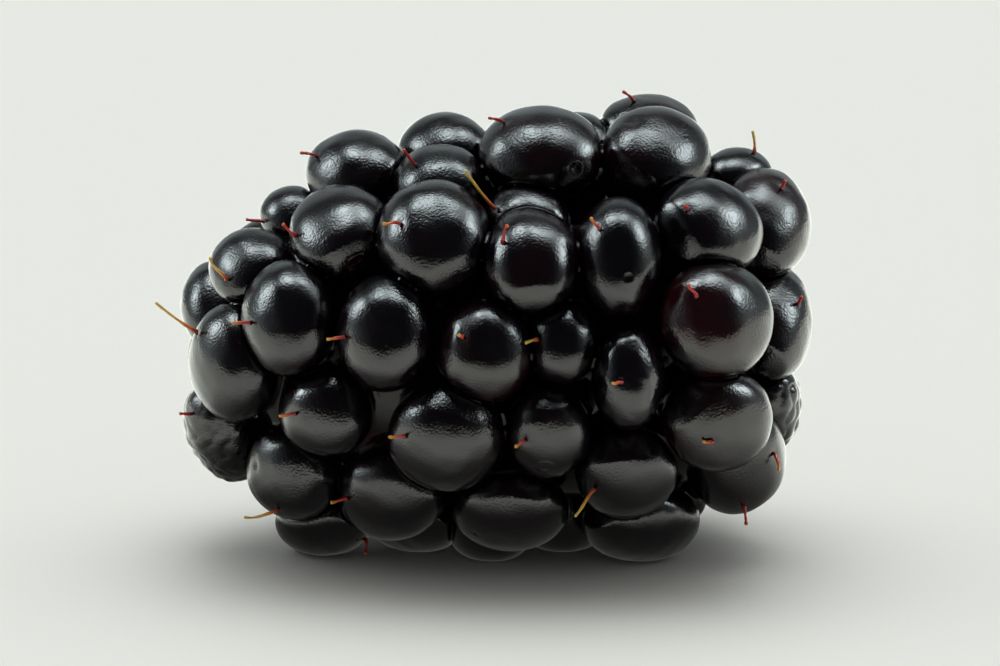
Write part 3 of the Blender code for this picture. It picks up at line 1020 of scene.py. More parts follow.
@dataclass(frozen=True)
class JuiceFinish:
    """Juice and wet flesh in the creases: almost black, and as smooth as a mirror.

    Args:
        colour: its colour.
        redder: its colour in places.
        roughness: least and greatest roughness.
        blotch: sizes of the redder places, the duller ones and the low waves, in metres.
        wave_depth: depth of the waves.
    """

    colour: Colour = (0.0030, 0.0008, 0.0014, 1.0)
    redder: Colour = (0.012, 0.0006, 0.0016, 1.0)
    roughness: tuple[float, float] = (0.045, 0.09)
    blotch: tuple[float, float, float] = (0.004, 0.0015, 0.0011)
    wave_depth: float = 0.000012

    def make(self) -> bpy.types.Material:
        """Make the material.

        Returns:
            The material.
        """
        material, nodes, shader = new_material("juice")
        place = nodes.place()
        redder, duller, wave = self.blotch
        tint = nodes.remap(nodes.noise(place, redder), 0.45, 0.7)
        nodes.feed(shader, "Base Color", nodes.blend(tint, self.colour, self.redder))
        nodes.feed(shader, "Roughness", nodes.remap(nodes.noise(place, duller), 0.3, 0.7, *self.roughness))
        nodes.feed(shader, "Normal", nodes.bump(nodes.noise(place, wave, detail=1.0), self.wave_depth))
        shader.inputs["IOR"].default_value = 1.36
        shader.inputs["Specular IOR Level"].default_value = 0.3
        return material


@dataclass(frozen=True)
class StyleFinish:
    """Dried style: red at the root, through amber to straw at the tip, with a faint fibre along it.

    Args:
        tint: its colouring.
        blotch: sizes of the blots in its colour, the duller places and the fibre, in metres.
        roughness: least and greatest roughness.
        fibre_depth: depth of the fibre.
    """

    tint: Tint
    blotch: tuple[float, float, float] = (0.0003, 0.0001, 0.00005)
    roughness: tuple[float, float] = (0.32, 0.6)
    fibre_depth: float = 0.000008

    def stops(self) -> tuple[tuple[float, Colour], ...]:
        """Places along the style and the colours there.

        Returns:
            Pairs of a place from 0 to 1 and its colour.
        """
        wine = (0.16, 0.004, 0.010, 1.0)
        scarlet = (0.42, 0.020, 0.012, 1.0)
        orange = (0.62, 0.13, 0.020, 1.0)
        straw = (0.62, 0.36, 0.050, 1.0)
        pale = (0.70, 0.48, 0.12, 1.0)
        table = {
            Tint.RED: ((0.0, wine), (0.35, scarlet), (0.85, scarlet), (1.0, orange)),
            Tint.AMBER: ((0.0, wine), (0.30, scarlet), (0.65, orange), (1.0, straw)),
            Tint.STRAW: ((0.0, wine), (0.22, orange), (0.50, straw), (1.0, pale)),
        }
        return table[self.tint]

    def make(self) -> bpy.types.Material:
        """Make the material.

        Returns:
            The material.
        """
        material, nodes, shader = new_material(f"dried_style_{self.tint.value}")
        place = nodes.place()
        along = nodes.attribute("along")
        blot, duller, fibre = self.blotch
        uneven = nodes.math("MULTIPLY", nodes.math("SUBTRACT", nodes.noise(place, blot), 0.5), 0.35)
        ramp = nodes.add("ShaderNodeValToRGB")
        nodes.feed(ramp, "Fac", nodes.math("ADD", along, uneven, clamp=True))
        stops = self.stops()
        while len(ramp.color_ramp.elements) < len(stops):
            ramp.color_ramp.elements.new(0.5)
        for element, (position, colour) in zip(ramp.color_ramp.elements, stops):
            element.position = position
            element.color = colour
        nodes.feed(shader, "Base Color", ramp.outputs["Color"])
        nodes.feed(shader, "Roughness", nodes.remap(nodes.noise(place, duller), 0.3, 0.7, *self.roughness))
        nodes.feed(shader, "Normal", nodes.bump(nodes.noise(place, fibre), self.fibre_depth))
        shader.inputs["Subsurface Weight"].default_value = 0.25
        shader.inputs["Subsurface Radius"].default_value = (0.0002, 0.00006, 0.00002)
        shader.inputs["Subsurface Scale"].default_value = 1.0
        return material


@dataclass(frozen=True)
class ScarFinish:
    """Torn plug where the stem was: pale, fibrous and stained with juice towards its edge.

    Args:
        pale: colour of its middle.
        stain: colour of its edge.
        blotch: sizes of the stain's blots, the duller places and the fibre, in metres.
        roughness: least and greatest roughness.
        fibre_depth: depth of the fibre.
    """

    pale: Colour = (0.42, 0.34, 0.20, 1.0)
    stain: Colour = (0.055, 0.004, 0.010, 1.0)
    blotch: tuple[float, float, float] = (0.0009, 0.0003, 0.00016)
    roughness: tuple[float, float] = (0.35, 0.65)
    fibre_depth: float = 0.00006

    def make(self) -> bpy.types.Material:
        """Make the material.

        Returns:
            The material.
        """
        material, nodes, shader = new_material("stem_scar")
        place = nodes.place()
        edge = nodes.attribute("edge")
        stained, duller, fibre = self.blotch
        blot = nodes.math("MULTIPLY", nodes.noise(place, stained), 0.7)
        share = nodes.remap(nodes.math("ADD", edge, blot), 0.65, 1.15)
        nodes.feed(shader, "Base Color", nodes.blend(share, self.pale, self.stain))
        nodes.feed(shader, "Roughness", nodes.remap(nodes.noise(place, duller), 0.3, 0.7, *self.roughness))
        nodes.feed(shader, "Normal", nodes.bump(nodes.noise(place, fibre, detail=4.0), self.fibre_depth))
        return material


@dataclass(frozen=True)
class TableFinish:
    """Pale sheet that the berry lies on.

    For glossy rays the sheet glows instead of taking light: a painted reflection of the sheet in the skin,
    which dims in a painted shadow under the berry and dies away far in front of it.

    Args:
        colour: the sheet itself.
        mirrored: colour of the painted reflection in the skin.
        strength: brightness of the painted reflection, in the painted shadow under the berry and around it.
        painted_shadow_size: half length and half depth of the painted shadow under the berry.
        painted_shadow_edge: where the painted shadow starts to lift and where it has gone, as shares of
            those.
        painted_reflection_reach: how far in front of the origin the painted reflection starts to dim, and
            where it has gone.
    """

    colour: Colour = (0.780, 0.700, 0.645, 1.0)
    mirrored: Colour = (0.96, 1.0, 0.91, 1.0)
    strength: tuple[float, float] = (0.12, 2.2)
    painted_shadow_size: tuple[float, float] = (0.015, 0.010)
    painted_shadow_edge: tuple[float, float] = (0.9, 2.1)
    painted_reflection_reach: tuple[float, float] = (0.022, 0.075)

    def make(self) -> bpy.types.Material:
        """Make the material.

        Returns:
            The material.
        """
        material, nodes, shader = new_material("pale_sheet")
        nodes.feed(shader, "Base Color", self.colour)
        nodes.feed(shader, "Roughness", 0.6)
        shader.inputs["Specular IOR Level"].default_value = 0.2
        across, back, _ = nodes.add("ShaderNodeSeparateXYZ").outputs
        nodes.feed(across.node, "Vector", nodes.place())
        # Painted shadow: the painted reflection is dimmed in an ellipse under the berry, instead of the
        # berry blocking real light.
        reach = [nodes.math("POWER", nodes.math("DIVIDE", nodes.math("ABSOLUTE", way), size), 2.0)
                 for way, size in zip((across, back), self.painted_shadow_size)]
        painted_reflection_brightness = nodes.remap(nodes.math("SQRT", nodes.math("ADD", *reach)), *self.painted_shadow_edge, *self.strength)
        # The painted reflection dies away far in front of the berry.
        near = nodes.remap(back, -self.painted_reflection_reach[1], -self.painted_reflection_reach[0])
        # Painted reflection: an emission seen only by glossy rays, so the sheet glows in the skin though it
        # is no lamp.
        mirror = nodes.add("ShaderNodeEmission")
        nodes.feed(mirror, "Color", self.mirrored)
        nodes.feed(mirror, "Strength", nodes.math("MULTIPLY", painted_reflection_brightness, near))
        choice = nodes.add("ShaderNodeMixShader")
        nodes.feed(choice, 0, nodes.add("ShaderNodeLightPath").outputs["Is Glossy Ray"])
        nodes.feed(choice, 1, shader.outputs[0])
        nodes.feed(choice, 2, mirror.outputs[0])
        nodes.feed(material.node_tree.nodes["Material Output"], "Surface", choice.outputs[0])
        material.cycles.emission_sampling = "NONE"
        return material


# --- The berry's pieces --------------------------------------------------------------------------------
@dataclass
class Piece:
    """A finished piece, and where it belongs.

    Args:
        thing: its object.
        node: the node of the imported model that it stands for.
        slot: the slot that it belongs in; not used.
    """

    thing: bpy.types.Object
    node: str
    slot: str

    def hand_in(self, finish: bpy.types.Material) -> None:
        """Give the piece its finish and its place in the model.

        Args:
            finish: the material it wears.
        """
        mesh = self.thing.data
        mesh.materials.clear()
        mesh.materials.append(finish)
        mesh.polygons.foreach_set("use_smooth", np.ones(len(mesh.polygons), dtype=bool))
        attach(self.thing, BODY)
        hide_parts(self.node)
        LOG.info("%s stands for %s", self.thing.name, self.node)


@dataclass(frozen=True)
class Pit:
    """A small mark pressed into the skin, or raised from it where the depth is negative.

    Args:
        place: across and up on the near side, in millimetres.
        radius: its radius.
        depth: how deep it is.
        rim: height of the ring around it.
    """

    place: tuple[float, float]
    radius: float
    depth: float
    rim: float = 0.0


RING_PLACE = 1.3  # where the ring around a pit is highest, and how wide it is, as shares of the pit's radius
RING_WIDTH = 0.35

PITS = (
    Pit((3.7, 8.0), 0.26, 0.14),
    Pit((6.5, 10.3), 0.45, 0.10),
    Pit((2.2, -6.5), 0.28, 0.05, rim=0.04),
    Pit((6.2, 2.7), 0.22, 0.05, rim=0.04),
    Pit((-12.1, -2.7), 0.12, -0.03),
    Pit((-11.8, -6.4), 0.16, 0.08),
    Pit((-1.2, -9.7), 0.14, 0.08),
    Pit((13.0, -2.3), 0.50, 0.14),
    Pit((-8.6, -7.9), 0.60, 0.12),
)


@dataclass(frozen=True)
class Unevenness:
    """Low bumps all over a drupelet's skin.

    Args:
        height: how high they are, in millimetres.
        seed: picks them, together with the drupelet's number.
        shortest: shortest distance from bump to bump.
        longest: longest distance.
    """

    height: float
    seed: int
    shortest: float
    longest: float

    def at(self, points: Array, number: int) -> Array:
        """Height of the bumps at some points of a numbered drupelet."""
        return self.height * ripples(points, self.seed + number, self.shortest, self.longest)


BROAD_BUMPS = Unevenness(0.030, 40, 2.2, 4.5)
SMALL_BUMPS = Unevenness(0.010, 440, 0.8, 1.6)
WRINKLES = Unevenness(0.06, 840, 0.7, 1.5)


@dataclass
class Drupelets:
    """All the drupelets: each one a plump ball whose sides are pressed flat against its neighbours.

    Args:
        layout: the berry's layout.
        near: drupelets of the near side.
        far: the others.
        move: how far the layout was moved when it was set down.
        softness: rounding of the edge where a crown turns into a crease, in millimetres.
        gap: how far two neighbours stay apart.
        swell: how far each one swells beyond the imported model's ellipsoid.
        reach: how far away another drupelet still counts as a neighbour.
        near_steps: subdivisions of a near drupelet's ball.
        far_steps: subdivisions of a far one's.
        halvings: how many times the search for the skin is halved.
        dimple: radius and depth of the dimple at a style's root.
        shrivel: how much a quite dried drupelet has shrunk.
        pieces: the built pieces.
    """

    layout: Layout
    near: list[Drupelet]
    far: list[Drupelet]
    move: Array
    softness: float = 0.08
    gap: float = 0.02
    swell: float = 0.08
    reach: float = 6.2
    near_steps: int = 6
    far_steps: int = 5
    halvings: int = 13
    dimple: tuple[float, float] = (0.30, 0.035)
    shrivel: float = 0.05
    pieces: list[Piece] = field(default_factory=list)

    def pressed_reach(self, own: Drupelet, others: Sequence[Drupelet], ways: Array) -> tuple[Array, Array]:
        """How far the skin lies from the centre in each direction.

        Args:
            own: the drupelet.
            others: its neighbours.
            ways: directions, as rows.

        Returns:
            The distance in each direction, and how much of the push there comes from neighbours.
        """
        inner = np.full(len(ways), 0.2)
        outer = np.full(len(ways), 1.15 * np.linalg.norm(own.axes, axis=0).max())
        for _ in range(self.halvings):
            middle = 0.5 * (inner + outer)
            inside = self.pressure(own, others, own.centre + middle[:, None] * ways)[0] < 0.0
            inner = np.where(inside, middle, inner)
            outer = np.where(inside, outer, middle)
        reach = 0.5 * (inner + outer)
        return reach, self.pressure(own, others, own.centre + reach[:, None] * ways)[1]

    def pressure(self, own: Drupelet, others: Sequence[Drupelet], points: Array) -> tuple[Array, Array]:
        """Smooth distance outside the drupelet's own surface and outside its share of the room.

        Args:
            own: the drupelet.
            others: its neighbours.
            points: places to look at.

        Returns:
            The distance, negative inside, and the neighbours' share of it from 0 to 1.
        """
        scale = 0.5 * self.layout.drupelet
        own_level = own.level(points)
        limits = [(own_level - 1.0) * 2.0 * scale - self.swell]
        limits += [(own_level - other.level(points)) * scale + self.gap for other in others]
        limits.append(-points[:, 2])
        stacked = np.array(limits) / self.softness
        peak = stacked.max(axis=0)
        weights = np.exp(stacked - peak)
        total = weights.sum(axis=0)
        return self.softness * (peak + np.log(total)), weights[1:].sum(axis=0) / total

    def marks(self, points: Array, pits: Sequence[tuple[Array, Pit]], roots: Array) -> Array:
        """How deep the skin is dented by pits and around the roots of styles.

        Args:
            points: places on the skin.
            pits: middles of the pits, and the pits.
            roots: where styles grow from.

        Returns:
            The depth at each place.
        """
        depth = np.zeros(len(points))
        for middle, pit in pits:
            share = np.linalg.norm(points - middle, axis=1) / pit.radius
            depth += pit.depth * np.exp(-share**2)
            depth -= pit.rim * np.exp(-((share - RING_PLACE) / RING_WIDTH) ** 2)
        radius, deepest = self.dimple
        for root in roots:
            share = np.linalg.norm(points - root, axis=1) / radius
            depth += deepest * np.exp(-share**2)
        return depth

    def shape(self, thing: bpy.types.Object, own: Drupelet, others: Sequence[Drupelet],
              number: int) -> None:
        """Turn a ball into the drupelet.

        Args:
            thing: the ball.
            own: the drupelet's ellipsoid.
            others: its neighbours' ellipsoids.
            number: its number, for its own unevenness.
        """
        ways = read_points(thing.data)
        ways /= np.linalg.norm(ways, axis=1)[:, None]
        reach, crease = self.pressed_reach(own, others, ways)
        spots = own.centre + reach[:, None] * ways
        uneven = BROAD_BUMPS.at(spots, number) + SMALL_BUMPS.at(spots, number)
        uneven += own.wither * (np.abs(WRINKLES.at(spots, number)) - self.shrivel)
        spots += ((1.0 - 0.8 * crease) * uneven)[:, None] * ways
        spots[:, 2] = np.maximum(spots[:, 2], 0.0)
        write_points(thing.data, spots)
        add_point_values(thing.data, "crease", crease)
        add_point_values(thing.data, "redness", np.full(len(spots), own.redness))

    def build(self) -> None:
        """Build every drupelet."""
        everyone = self.near + self.far
        centres = np.array([drupelet.centre for drupelet in everyone])
        for number, own in enumerate(everyone):
            distance = np.linalg.norm(centres - own.centre, axis=1)
            close = np.nonzero((distance > 0.0) & (distance < self.reach))[0]
            others = [everyone[index] for index in close]
            steps = self.near_steps if own.near else self.far_steps
            thing = add_ball(f"drupelet_{number + 1:02d}", steps)
            self.shape(thing, own, others, number)
            self.pieces.append(Piece(thing, FRUIT_NODE, SKIN_SLOT))

    def dent(self, roots: Array) -> None:
        """Press the pits and the dimples around the styles' roots into the finished skin.

        Args:
            roots: where the styles grow from, in millimetres.
        """
        tree = skin_tree([piece.thing for piece in self.pieces])
        pits = []
        for pit in PITS:
            eye, way = self.layout.sight_line(*pit.place)
            hit = tree.ray_cast(Vector(eye + self.move), Vector(way))[0]
            if hit is not None:
                pits.append((np.array(hit), pit))
        for piece, own in zip(self.pieces, self.near + self.far):
            points = read_points(piece.thing.data)
            close = [root for root in roots if np.linalg.norm(root - own.centre) < 4.0]
            near_pits = [(middle, pit) for middle, pit in pits if np.linalg.norm(middle - own.centre) < 4.5]
            depth = self.marks(points, near_pits, np.array(close).reshape(-1, 3))
            inward = own.centre - points
            inward /= np.linalg.norm(inward, axis=1)[:, None]
            points += depth[:, None] * inward
            points[:, 2] = np.maximum(points[:, 2], 0.0)
            write_points(piece.thing.data, points)


@dataclass
class Juice:
    """Film of juice and soft flesh that fills the creases between the drupelets.

    Args:
        drupelets: the built drupelets.
        inset: size of the flesh under each crown, as a share of its drupelet.
        depth: how far outside the layer of drupelet centres the middle reaches, in millimetres.
        rim_depth: the same, where the eye looks along the skin.
        voxel: size of the cells that the film is remeshed with, in millimetres.
        smoothing: rounds of smoothing that draw it up into the creases.
        most_triangles: the film is thinned out to this many triangles.
        off_table: how far it stays above the table.
    """

    drupelets: Drupelets
    inset: float = 0.955
    depth: float = -2.4
    rim_depth: float = -0.7
    voxel: float = 0.17
    smoothing: int = 6
    most_triangles: int = 190_000
    off_table: float = 0.02

    def flesh(self, own: Drupelet, share: float) -> bpy.types.Object:
        """Add one drupelet's flesh: its ellipsoid, a little smaller.

        Args:
            own: the drupelet.
            share: the flesh's size, as a share of it.

        Returns:
            The flesh.
        """
        ball = add_ball("flesh", 4)
        points = read_points(ball.data)
        write_points(ball.data, own.centre + points @ (share * own.axes).T)
        return ball

    def heart(self) -> bpy.types.Object:
        """Add the berry's middle, which ends below the layer of drupelet centres.

        Returns:
            The middle.
        """
        layout = self.drupelets.layout
        ball = add_ball("heart", 5)
        local = read_points(ball.data)
        local[:, 0] *= np.where(local[:, 0] < 0.0, layout.apex_reach, layout.stem_reach)
        local[:, 1:] *= layout.girth
        ways = layout.from_axis(local)
        ways /= np.linalg.norm(ways, axis=1)[:, None]
        facing = (ways @ layout.toward)[:, None] ** 2
        outside = self.rim_depth + (self.depth - self.rim_depth) * facing
        spots = layout.onto_layer(layout.from_axis(local), outside)
        scar = layout.onto_layer(np.array(layout.scar), self.depth)
        share = np.clip(np.linalg.norm(spots - scar, axis=1) / layout.scar_radius, 0.0, 1.0)
        hollow = layout.scar_depth * (1.0 - share**2) ** 2
        spots -= hollow[:, None] * layout.outward(scar)
        write_points(ball.data, spots + self.drupelets.move)
        return ball

    def build(self) -> Piece:
        """Join the flesh and the middle, and melt them into one smooth film.

        Returns:
            The film.
        """
        everyone = self.drupelets.near + self.drupelets.far
        flesh = [self.flesh(own, self.inset) for own in everyone]
        film = join([self.heart()] + flesh, "juice_film")
        only(film)
        remesh = film.modifiers.new("melt", "REMESH")
        remesh.mode = "VOXEL"
        remesh.voxel_size = self.voxel * MM
        bpy.ops.object.modifier_apply(modifier=remesh.name)
        smooth = film.modifiers.new("wet", "SMOOTH")
        smooth.factor = 0.5
        smooth.iterations = self.smoothing
        bpy.ops.object.modifier_apply(modifier=smooth.name)
        film.data.calc_loop_triangles()
        thin = film.modifiers.new("thin", "DECIMATE")
        thin.ratio = min(1.0, self.most_triangles / len(film.data.loop_triangles))
        bpy.ops.object.modifier_apply(modifier=thin.name)
        points = read_points(film.data)
        points[:, 2] = np.maximum(points[:, 2], self.off_table)
        write_points(film.data, points)
        return Piece(film, FRUIT_NODE, SKIN_SLOT)


@dataclass
class StemScar:
    """Hollow end where the berry was pulled from its stem, with the torn plug in it.

    Args:
        layout: the berry's layout.
        move: how far the layout was moved.
        radius: radius of the plug, in millimetres.
        rise: how far the plug's middle stands out.
        raised: how far outside the layer of drupelet centres the plug sits.
        dip: depth of the small hollow in its middle.
        fibre: height of its torn fibre.
    """

    layout: Layout
    move: Array
    radius: float = 1.75
    rise: float = 0.55
    raised: float = 0.55
    dip: float = 0.35
    fibre: float = 0.10

    def build(self) -> Piece:
        """Build the plug.

        Returns:
            The plug.
        """
        middle = self.layout.onto_layer(np.array(self.layout.scar), self.raised)
        out = self.layout.outward(self.layout.onto_layer(np.array(self.layout.scar)))
        side = np.cross(out, np.array((0.0, 0.0, 1.0)))
        side /= np.linalg.norm(side)
        over = np.cross(out, side)
        ball = add_ball("stem_scar", 5)
        points = read_points(ball.data)
        edge = np.hypot(points[:, 0], points[:, 1])
        angle = np.arctan2(points[:, 1], points[:, 0])
        lobes = 1.0 + 0.06 * np.sin(5.0 * angle + 0.6) + 0.04 * np.sin(9.0 * angle)
        upper = points[:, 2] > 0.0
        height = np.where(upper, self.rise * points[:, 2], 0.8 * points[:, 2])
        height -= self.dip * np.exp(-((edge / 0.25) ** 2)) * upper
        height += self.fibre * ripples(points, 77, 0.25, 0.6) * upper
        across = self.radius * lobes[:, None] * (points[:, :1] * side + points[:, 1:2] * over)
        spots = middle + self.move + across + height[:, None] * out
        write_points(ball.data, spots)
        add_point_values(ball.data, "edge", edge)
        return Piece(ball, FRUIT_NODE, SKIN_SLOT)


@dataclass(frozen=True)
class StyleEnds:
    """Where a style starts and ends.

    Args:
        root: its root on the skin, in millimetres.
        outwards: the skin's outward direction there.
        tip: its tip.
        tint: its colouring.
        bow: sideways bend of its middle, as a share of its length.
    """

    root: Vector
    outwards: Vector
    tip: Vector
    tint: Tint
    bow: float


@dataclass
class Styles:
    """The dried styles: thin, bent stalks that grow from the crowns of the drupelets.

    Args:
        drupelets: the built drupelets.
        radius: radius at the root, in millimetres.
        tip: radius at the tip.
        gap: room between a style and the skin.
        far_count: how many styles the far side has.
        underside: far drupelets that end lower than this have no style.
        turned_away: nor do those whose axis points more towards the eye than this.
        sides: sides of a style's section.
        rings: sections along it.
        far_length: length of a far style, and how much it varies.
        far_lean: how far a far style's root lies from its drupelet's middle towards the apex.
        ends: the styles' ends.
    """

    drupelets: Drupelets
    radius: float = 0.085
    tip: float = 0.060
    gap: float = 0.03
    far_count: int = 18
    underside: float = 1.2
    turned_away: float = -0.5
    sides: int = 12
    rings: int = 22
    far_length: tuple[float, float] = (0.75, 0.35)
    far_lean: float = 0.55
    ends: list[StyleEnds] = field(default_factory=list)

    def find_ends(self) -> Array:
        """Work out where every style's root and tip are.

        Returns:
            The roots, in millimetres.
        """
        tree = skin_tree([piece.thing for piece in self.drupelets.pieces])
        self.ends = [self.near_ends(style, tree) for style in NEAR_STYLES]
        toward = self.drupelets.layout.toward
        high = [drupelet for drupelet in self.drupelets.far
                if drupelet.bottom() > self.underside and drupelet.facing(toward) < self.turned_away]
        chosen = [high[number * len(high) // self.far_count] for number in range(self.far_count)]
        self.ends += [self.far_ends(drupelet, number, tree) for number, drupelet in enumerate(chosen)]
        return np.array([end.root for end in self.ends])

    def near_ends(self, style: SeenStyle, tree: BVHTree) -> StyleEnds:
        """Ends of a style of the near side, found along the eye's sight lines.

        Args:
            style: how the style looks from the eye.
            tree: the skin.

        Returns:
            Its ends.
        """
        layout = self.drupelets.layout
        start, root_way = layout.sight_line(*style.root)
        eye = Vector(start + self.drupelets.move)
        root, outwards, _, _ = tree.ray_cast(eye, Vector(root_way))
        if root is None:
            root, outwards, _, _ = tree.find_nearest(eye + layout.eye_distance * Vector(root_way))
        _, tip_way = layout.sight_line(*style.tip)
        tip = eye + Vector(tip_way) * ((root - eye).length - style.stand)
        return StyleEnds(root, outwards, tip, style.tint, style.bow)

    def far_ends(self, drupelet: Drupelet, number: int, tree: BVHTree) -> StyleEnds:
        """Ends of a style on a far drupelet, leaning towards the apex.

        Args:
            drupelet: the drupelet.
            number: the style's number among the far ones.
            tree: the skin.

        Returns:
            Its ends.
        """
        out = Vector(drupelet.axes[:, 2]).normalized()
        apex_way = Vector(drupelet.axes[:, 0]).normalized()
        if apex_way.x > 0.0:
            apex_way.negate()
        aim = (out + self.far_lean * apex_way).normalized()
        start = Vector(drupelet.centre) + 2.5 * self.drupelets.layout.drupelet * aim
        root, outwards, _, _ = tree.ray_cast(start, -aim)
        usual, variety = self.far_length
        length = usual + variety * math.sin(1.9 * number)
        tip = root + (0.5 * outwards + apex_way).normalized() * length
        tint = (Tint.RED, Tint.AMBER, Tint.RED, Tint.STRAW)[number % 4]
        return StyleEnds(root, outwards, tip, tint, 0.1)

    def route(self, ends: StyleEnds) -> list[Vector]:
        """Middle line: out of the skin first, then over towards the tip, with a slight bend to one side.

        Args:
            ends: the style's ends.

        Returns:
            Its places, from the root to the tip.
        """
        reach = ends.tip - ends.root
        start = ends.root - ends.outwards * self.gap
        elbow = ends.root + 0.4 * reach + ends.outwards * 0.16 * reach.length
        aside = reach.cross(ends.outwards)
        line = []
        for ring in range(self.rings):
            share = ring / (self.rings - 1)
            rest = 1.0 - share
            middle = start * rest**2 + elbow * 2.0 * share * rest + ends.tip * share**2
            line.append(middle + aside * ends.bow * math.sin(2.0 * math.pi * share))
        return line

    def radii(self, number: int, length: float) -> list[float]:
        """Radius of each section: swollen at the root, uneven along it, with a small knob at the tip.

        Args:
            number: the style's number, for its own unevenness.
            length: its length, in millimetres.

        Returns:
            The radii, from the root to the tip.
        """
        knob = min(0.35, 0.09 / length)
        radii = []
        for ring in range(self.rings):
            share = ring / (self.rings - 1)
            size = self.radius + (self.tip - self.radius) * min(1.0, 1.3 * share)
            size *= 1.0 + 0.35 * math.exp(-((share / 0.10) ** 2))
            size *= (1.0 + 0.13 * math.sin(9.0 * share + 1.9 * number)
                     + 0.07 * math.sin(23.0 * share + number))
            size *= 1.0 + 0.35 * math.exp(-(((1.0 - share - knob) / knob) ** 2))
            cap = (1.0 - share) / (0.5 * knob)
            size *= math.sqrt(max(0.0, 1.0 - (1.0 - min(1.0, cap)) ** 2))
            radii.append(size)
        return radii

    def kept_clear(self, line: list[Vector], radii: list[float], tree: BVHTree) -> list[Vector]:
        """Middle line, each place of it moved out until its section is clear of the skin.

        Args:
            line: the middle line.
            radii: the sections' radii.
            tree: the skin.

        Returns:
            The moved line.
        """
        clear = line[:3]
        for place, radius in zip(line[3:], radii[3:]):
            nearest, outwards, _, distance = tree.find_nearest(place)
            least = radius + self.gap
            if (place - nearest).dot(outwards) < 0.0 or distance < least:
                place = nearest + outwards * least
            clear.append(place)
        return self.evened(clear)

    def evened(self, line: list[Vector]) -> list[Vector]:
        """A line with its sharp corners rounded off; its two ends stay.

        Args:
            line: the line.

        Returns:
            The rounder line.
        """
        for _ in range(2):
            inner = [0.25 * before + 0.5 * here + 0.25 * after
                     for before, here, after in zip(line, line[1:], line[2:])]
            line = [line[0]] + inner + [line[-1]]
        return line

    def build_one(self, number: int, ends: StyleEnds, tree: BVHTree) -> tuple[Piece, Tint]:
        """Build one style: a closed tube along its middle line.

        Args:
            number: its number, for its node's name.
            ends: where its ends are.
            tree: the finished skin.

        Returns:
            The piece and its colouring.
        """
        radii = self.radii(number, (ends.tip - ends.root).length)
        line = self.kept_clear(self.route(ends), radii, tree)
        deselect_all()
        last = self.rings - 1
        bpy.ops.mesh.primitive_uv_sphere_add(segments=self.sides, ring_count=last, radius=MM)
        style = bpy.context.object
        style.name = f"dried_style_{number:02d}"
        style.data.name = style.name
        ball = read_points(style.data)
        ring = last - np.rint(np.arccos(np.clip(ball[:, 2], -1.0, 1.0)) / math.pi * last).astype(int)
        angle = np.arctan2(ball[:, 1], ball[:, 0])
        sides, overs = self.section_ways(line)
        size = np.array(radii)[ring] * (1.0 + 0.10 * np.sin(3.0 * angle + number))
        around = np.cos(angle)[:, None] * sides[ring] + np.sin(angle)[:, None] * overs[ring]
        write_points(style.data, np.array(line)[ring] + size[:, None] * around)
        add_point_values(style.data, "along", ring / last)
        return Piece(style, f"style_{number:02d}", STYLE_SLOT), ends.tint

    def section_ways(self, line: list[Vector]) -> tuple[Array, Array]:
        """Two directions across the line at each place of it, without any twist from place to place.

        Args:
            line: the line.

        Returns:
            The two directions, as rows.
        """
        sides = []
        overs = []
        side = None
        for index in range(len(line)):
            way = (line[min(index + 1, len(line) - 1)] - line[max(index - 1, 0)]).normalized()
            side = way.orthogonal() if side is None else side - way * side.dot(way)
            side = side.normalized()
            sides.append(side)
            overs.append(way.cross(side))
        return np.array(sides), np.array(overs)

    def build(self) -> list[tuple[Piece, Tint]]:
        """Build every style on the finished skin.

        Returns:
            Each style's piece and colouring.
        """
        tree = skin_tree([piece.thing for piece in self.drupelets.pieces])
        return [self.build_one(number, ends, tree) for number, ends in enumerate(self.ends, start=1)]


# --- The studio ----------------------------------------------------------------------------------------
@dataclass(frozen=True)
class SoftLight:
    """A soft round light far away: bright in its middle and fading outwards.

    Args:
        way: direction towards it.
        bright: its brightness in the middle.
        tightness: how fast it fades outwards.
    """

    way: tuple[float, float, float]
    bright: float
    tightness: float = 50.0


# What the skin mirrors; directions are across, up and towards the eye.
SOFT_LIGHTS = (
    SoftLight((-0.855, 0.52, -0.02), 18.0),
    SoftLight((-0.30, 0.94, 0.13), 19.0),
    SoftLight((0.16, 0.975, 0.14), 15.0),
    SoftLight((0.45, 0.86, 0.10), 6.0),
    SoftLight((0.83, 0.55, 0.05), 20.0),
    SoftLight((-0.98, 0.0, -0.10), 0.9, 6.0),
    SoftLight((0.98, 0.0, -0.10), 0.7, 6.0),
)


# What lights dull things; directions are along X, Y and Z.
BROAD_LIGHTS = (
    SoftLight((-0.66, 0.28, 0.70), 0.8, 12.0),
    SoftLight((0.66, 0.28, 0.70), 0.8, 12.0),
    SoftLight((0.0, 0.27, 0.96), 5.1, 12.0),
)


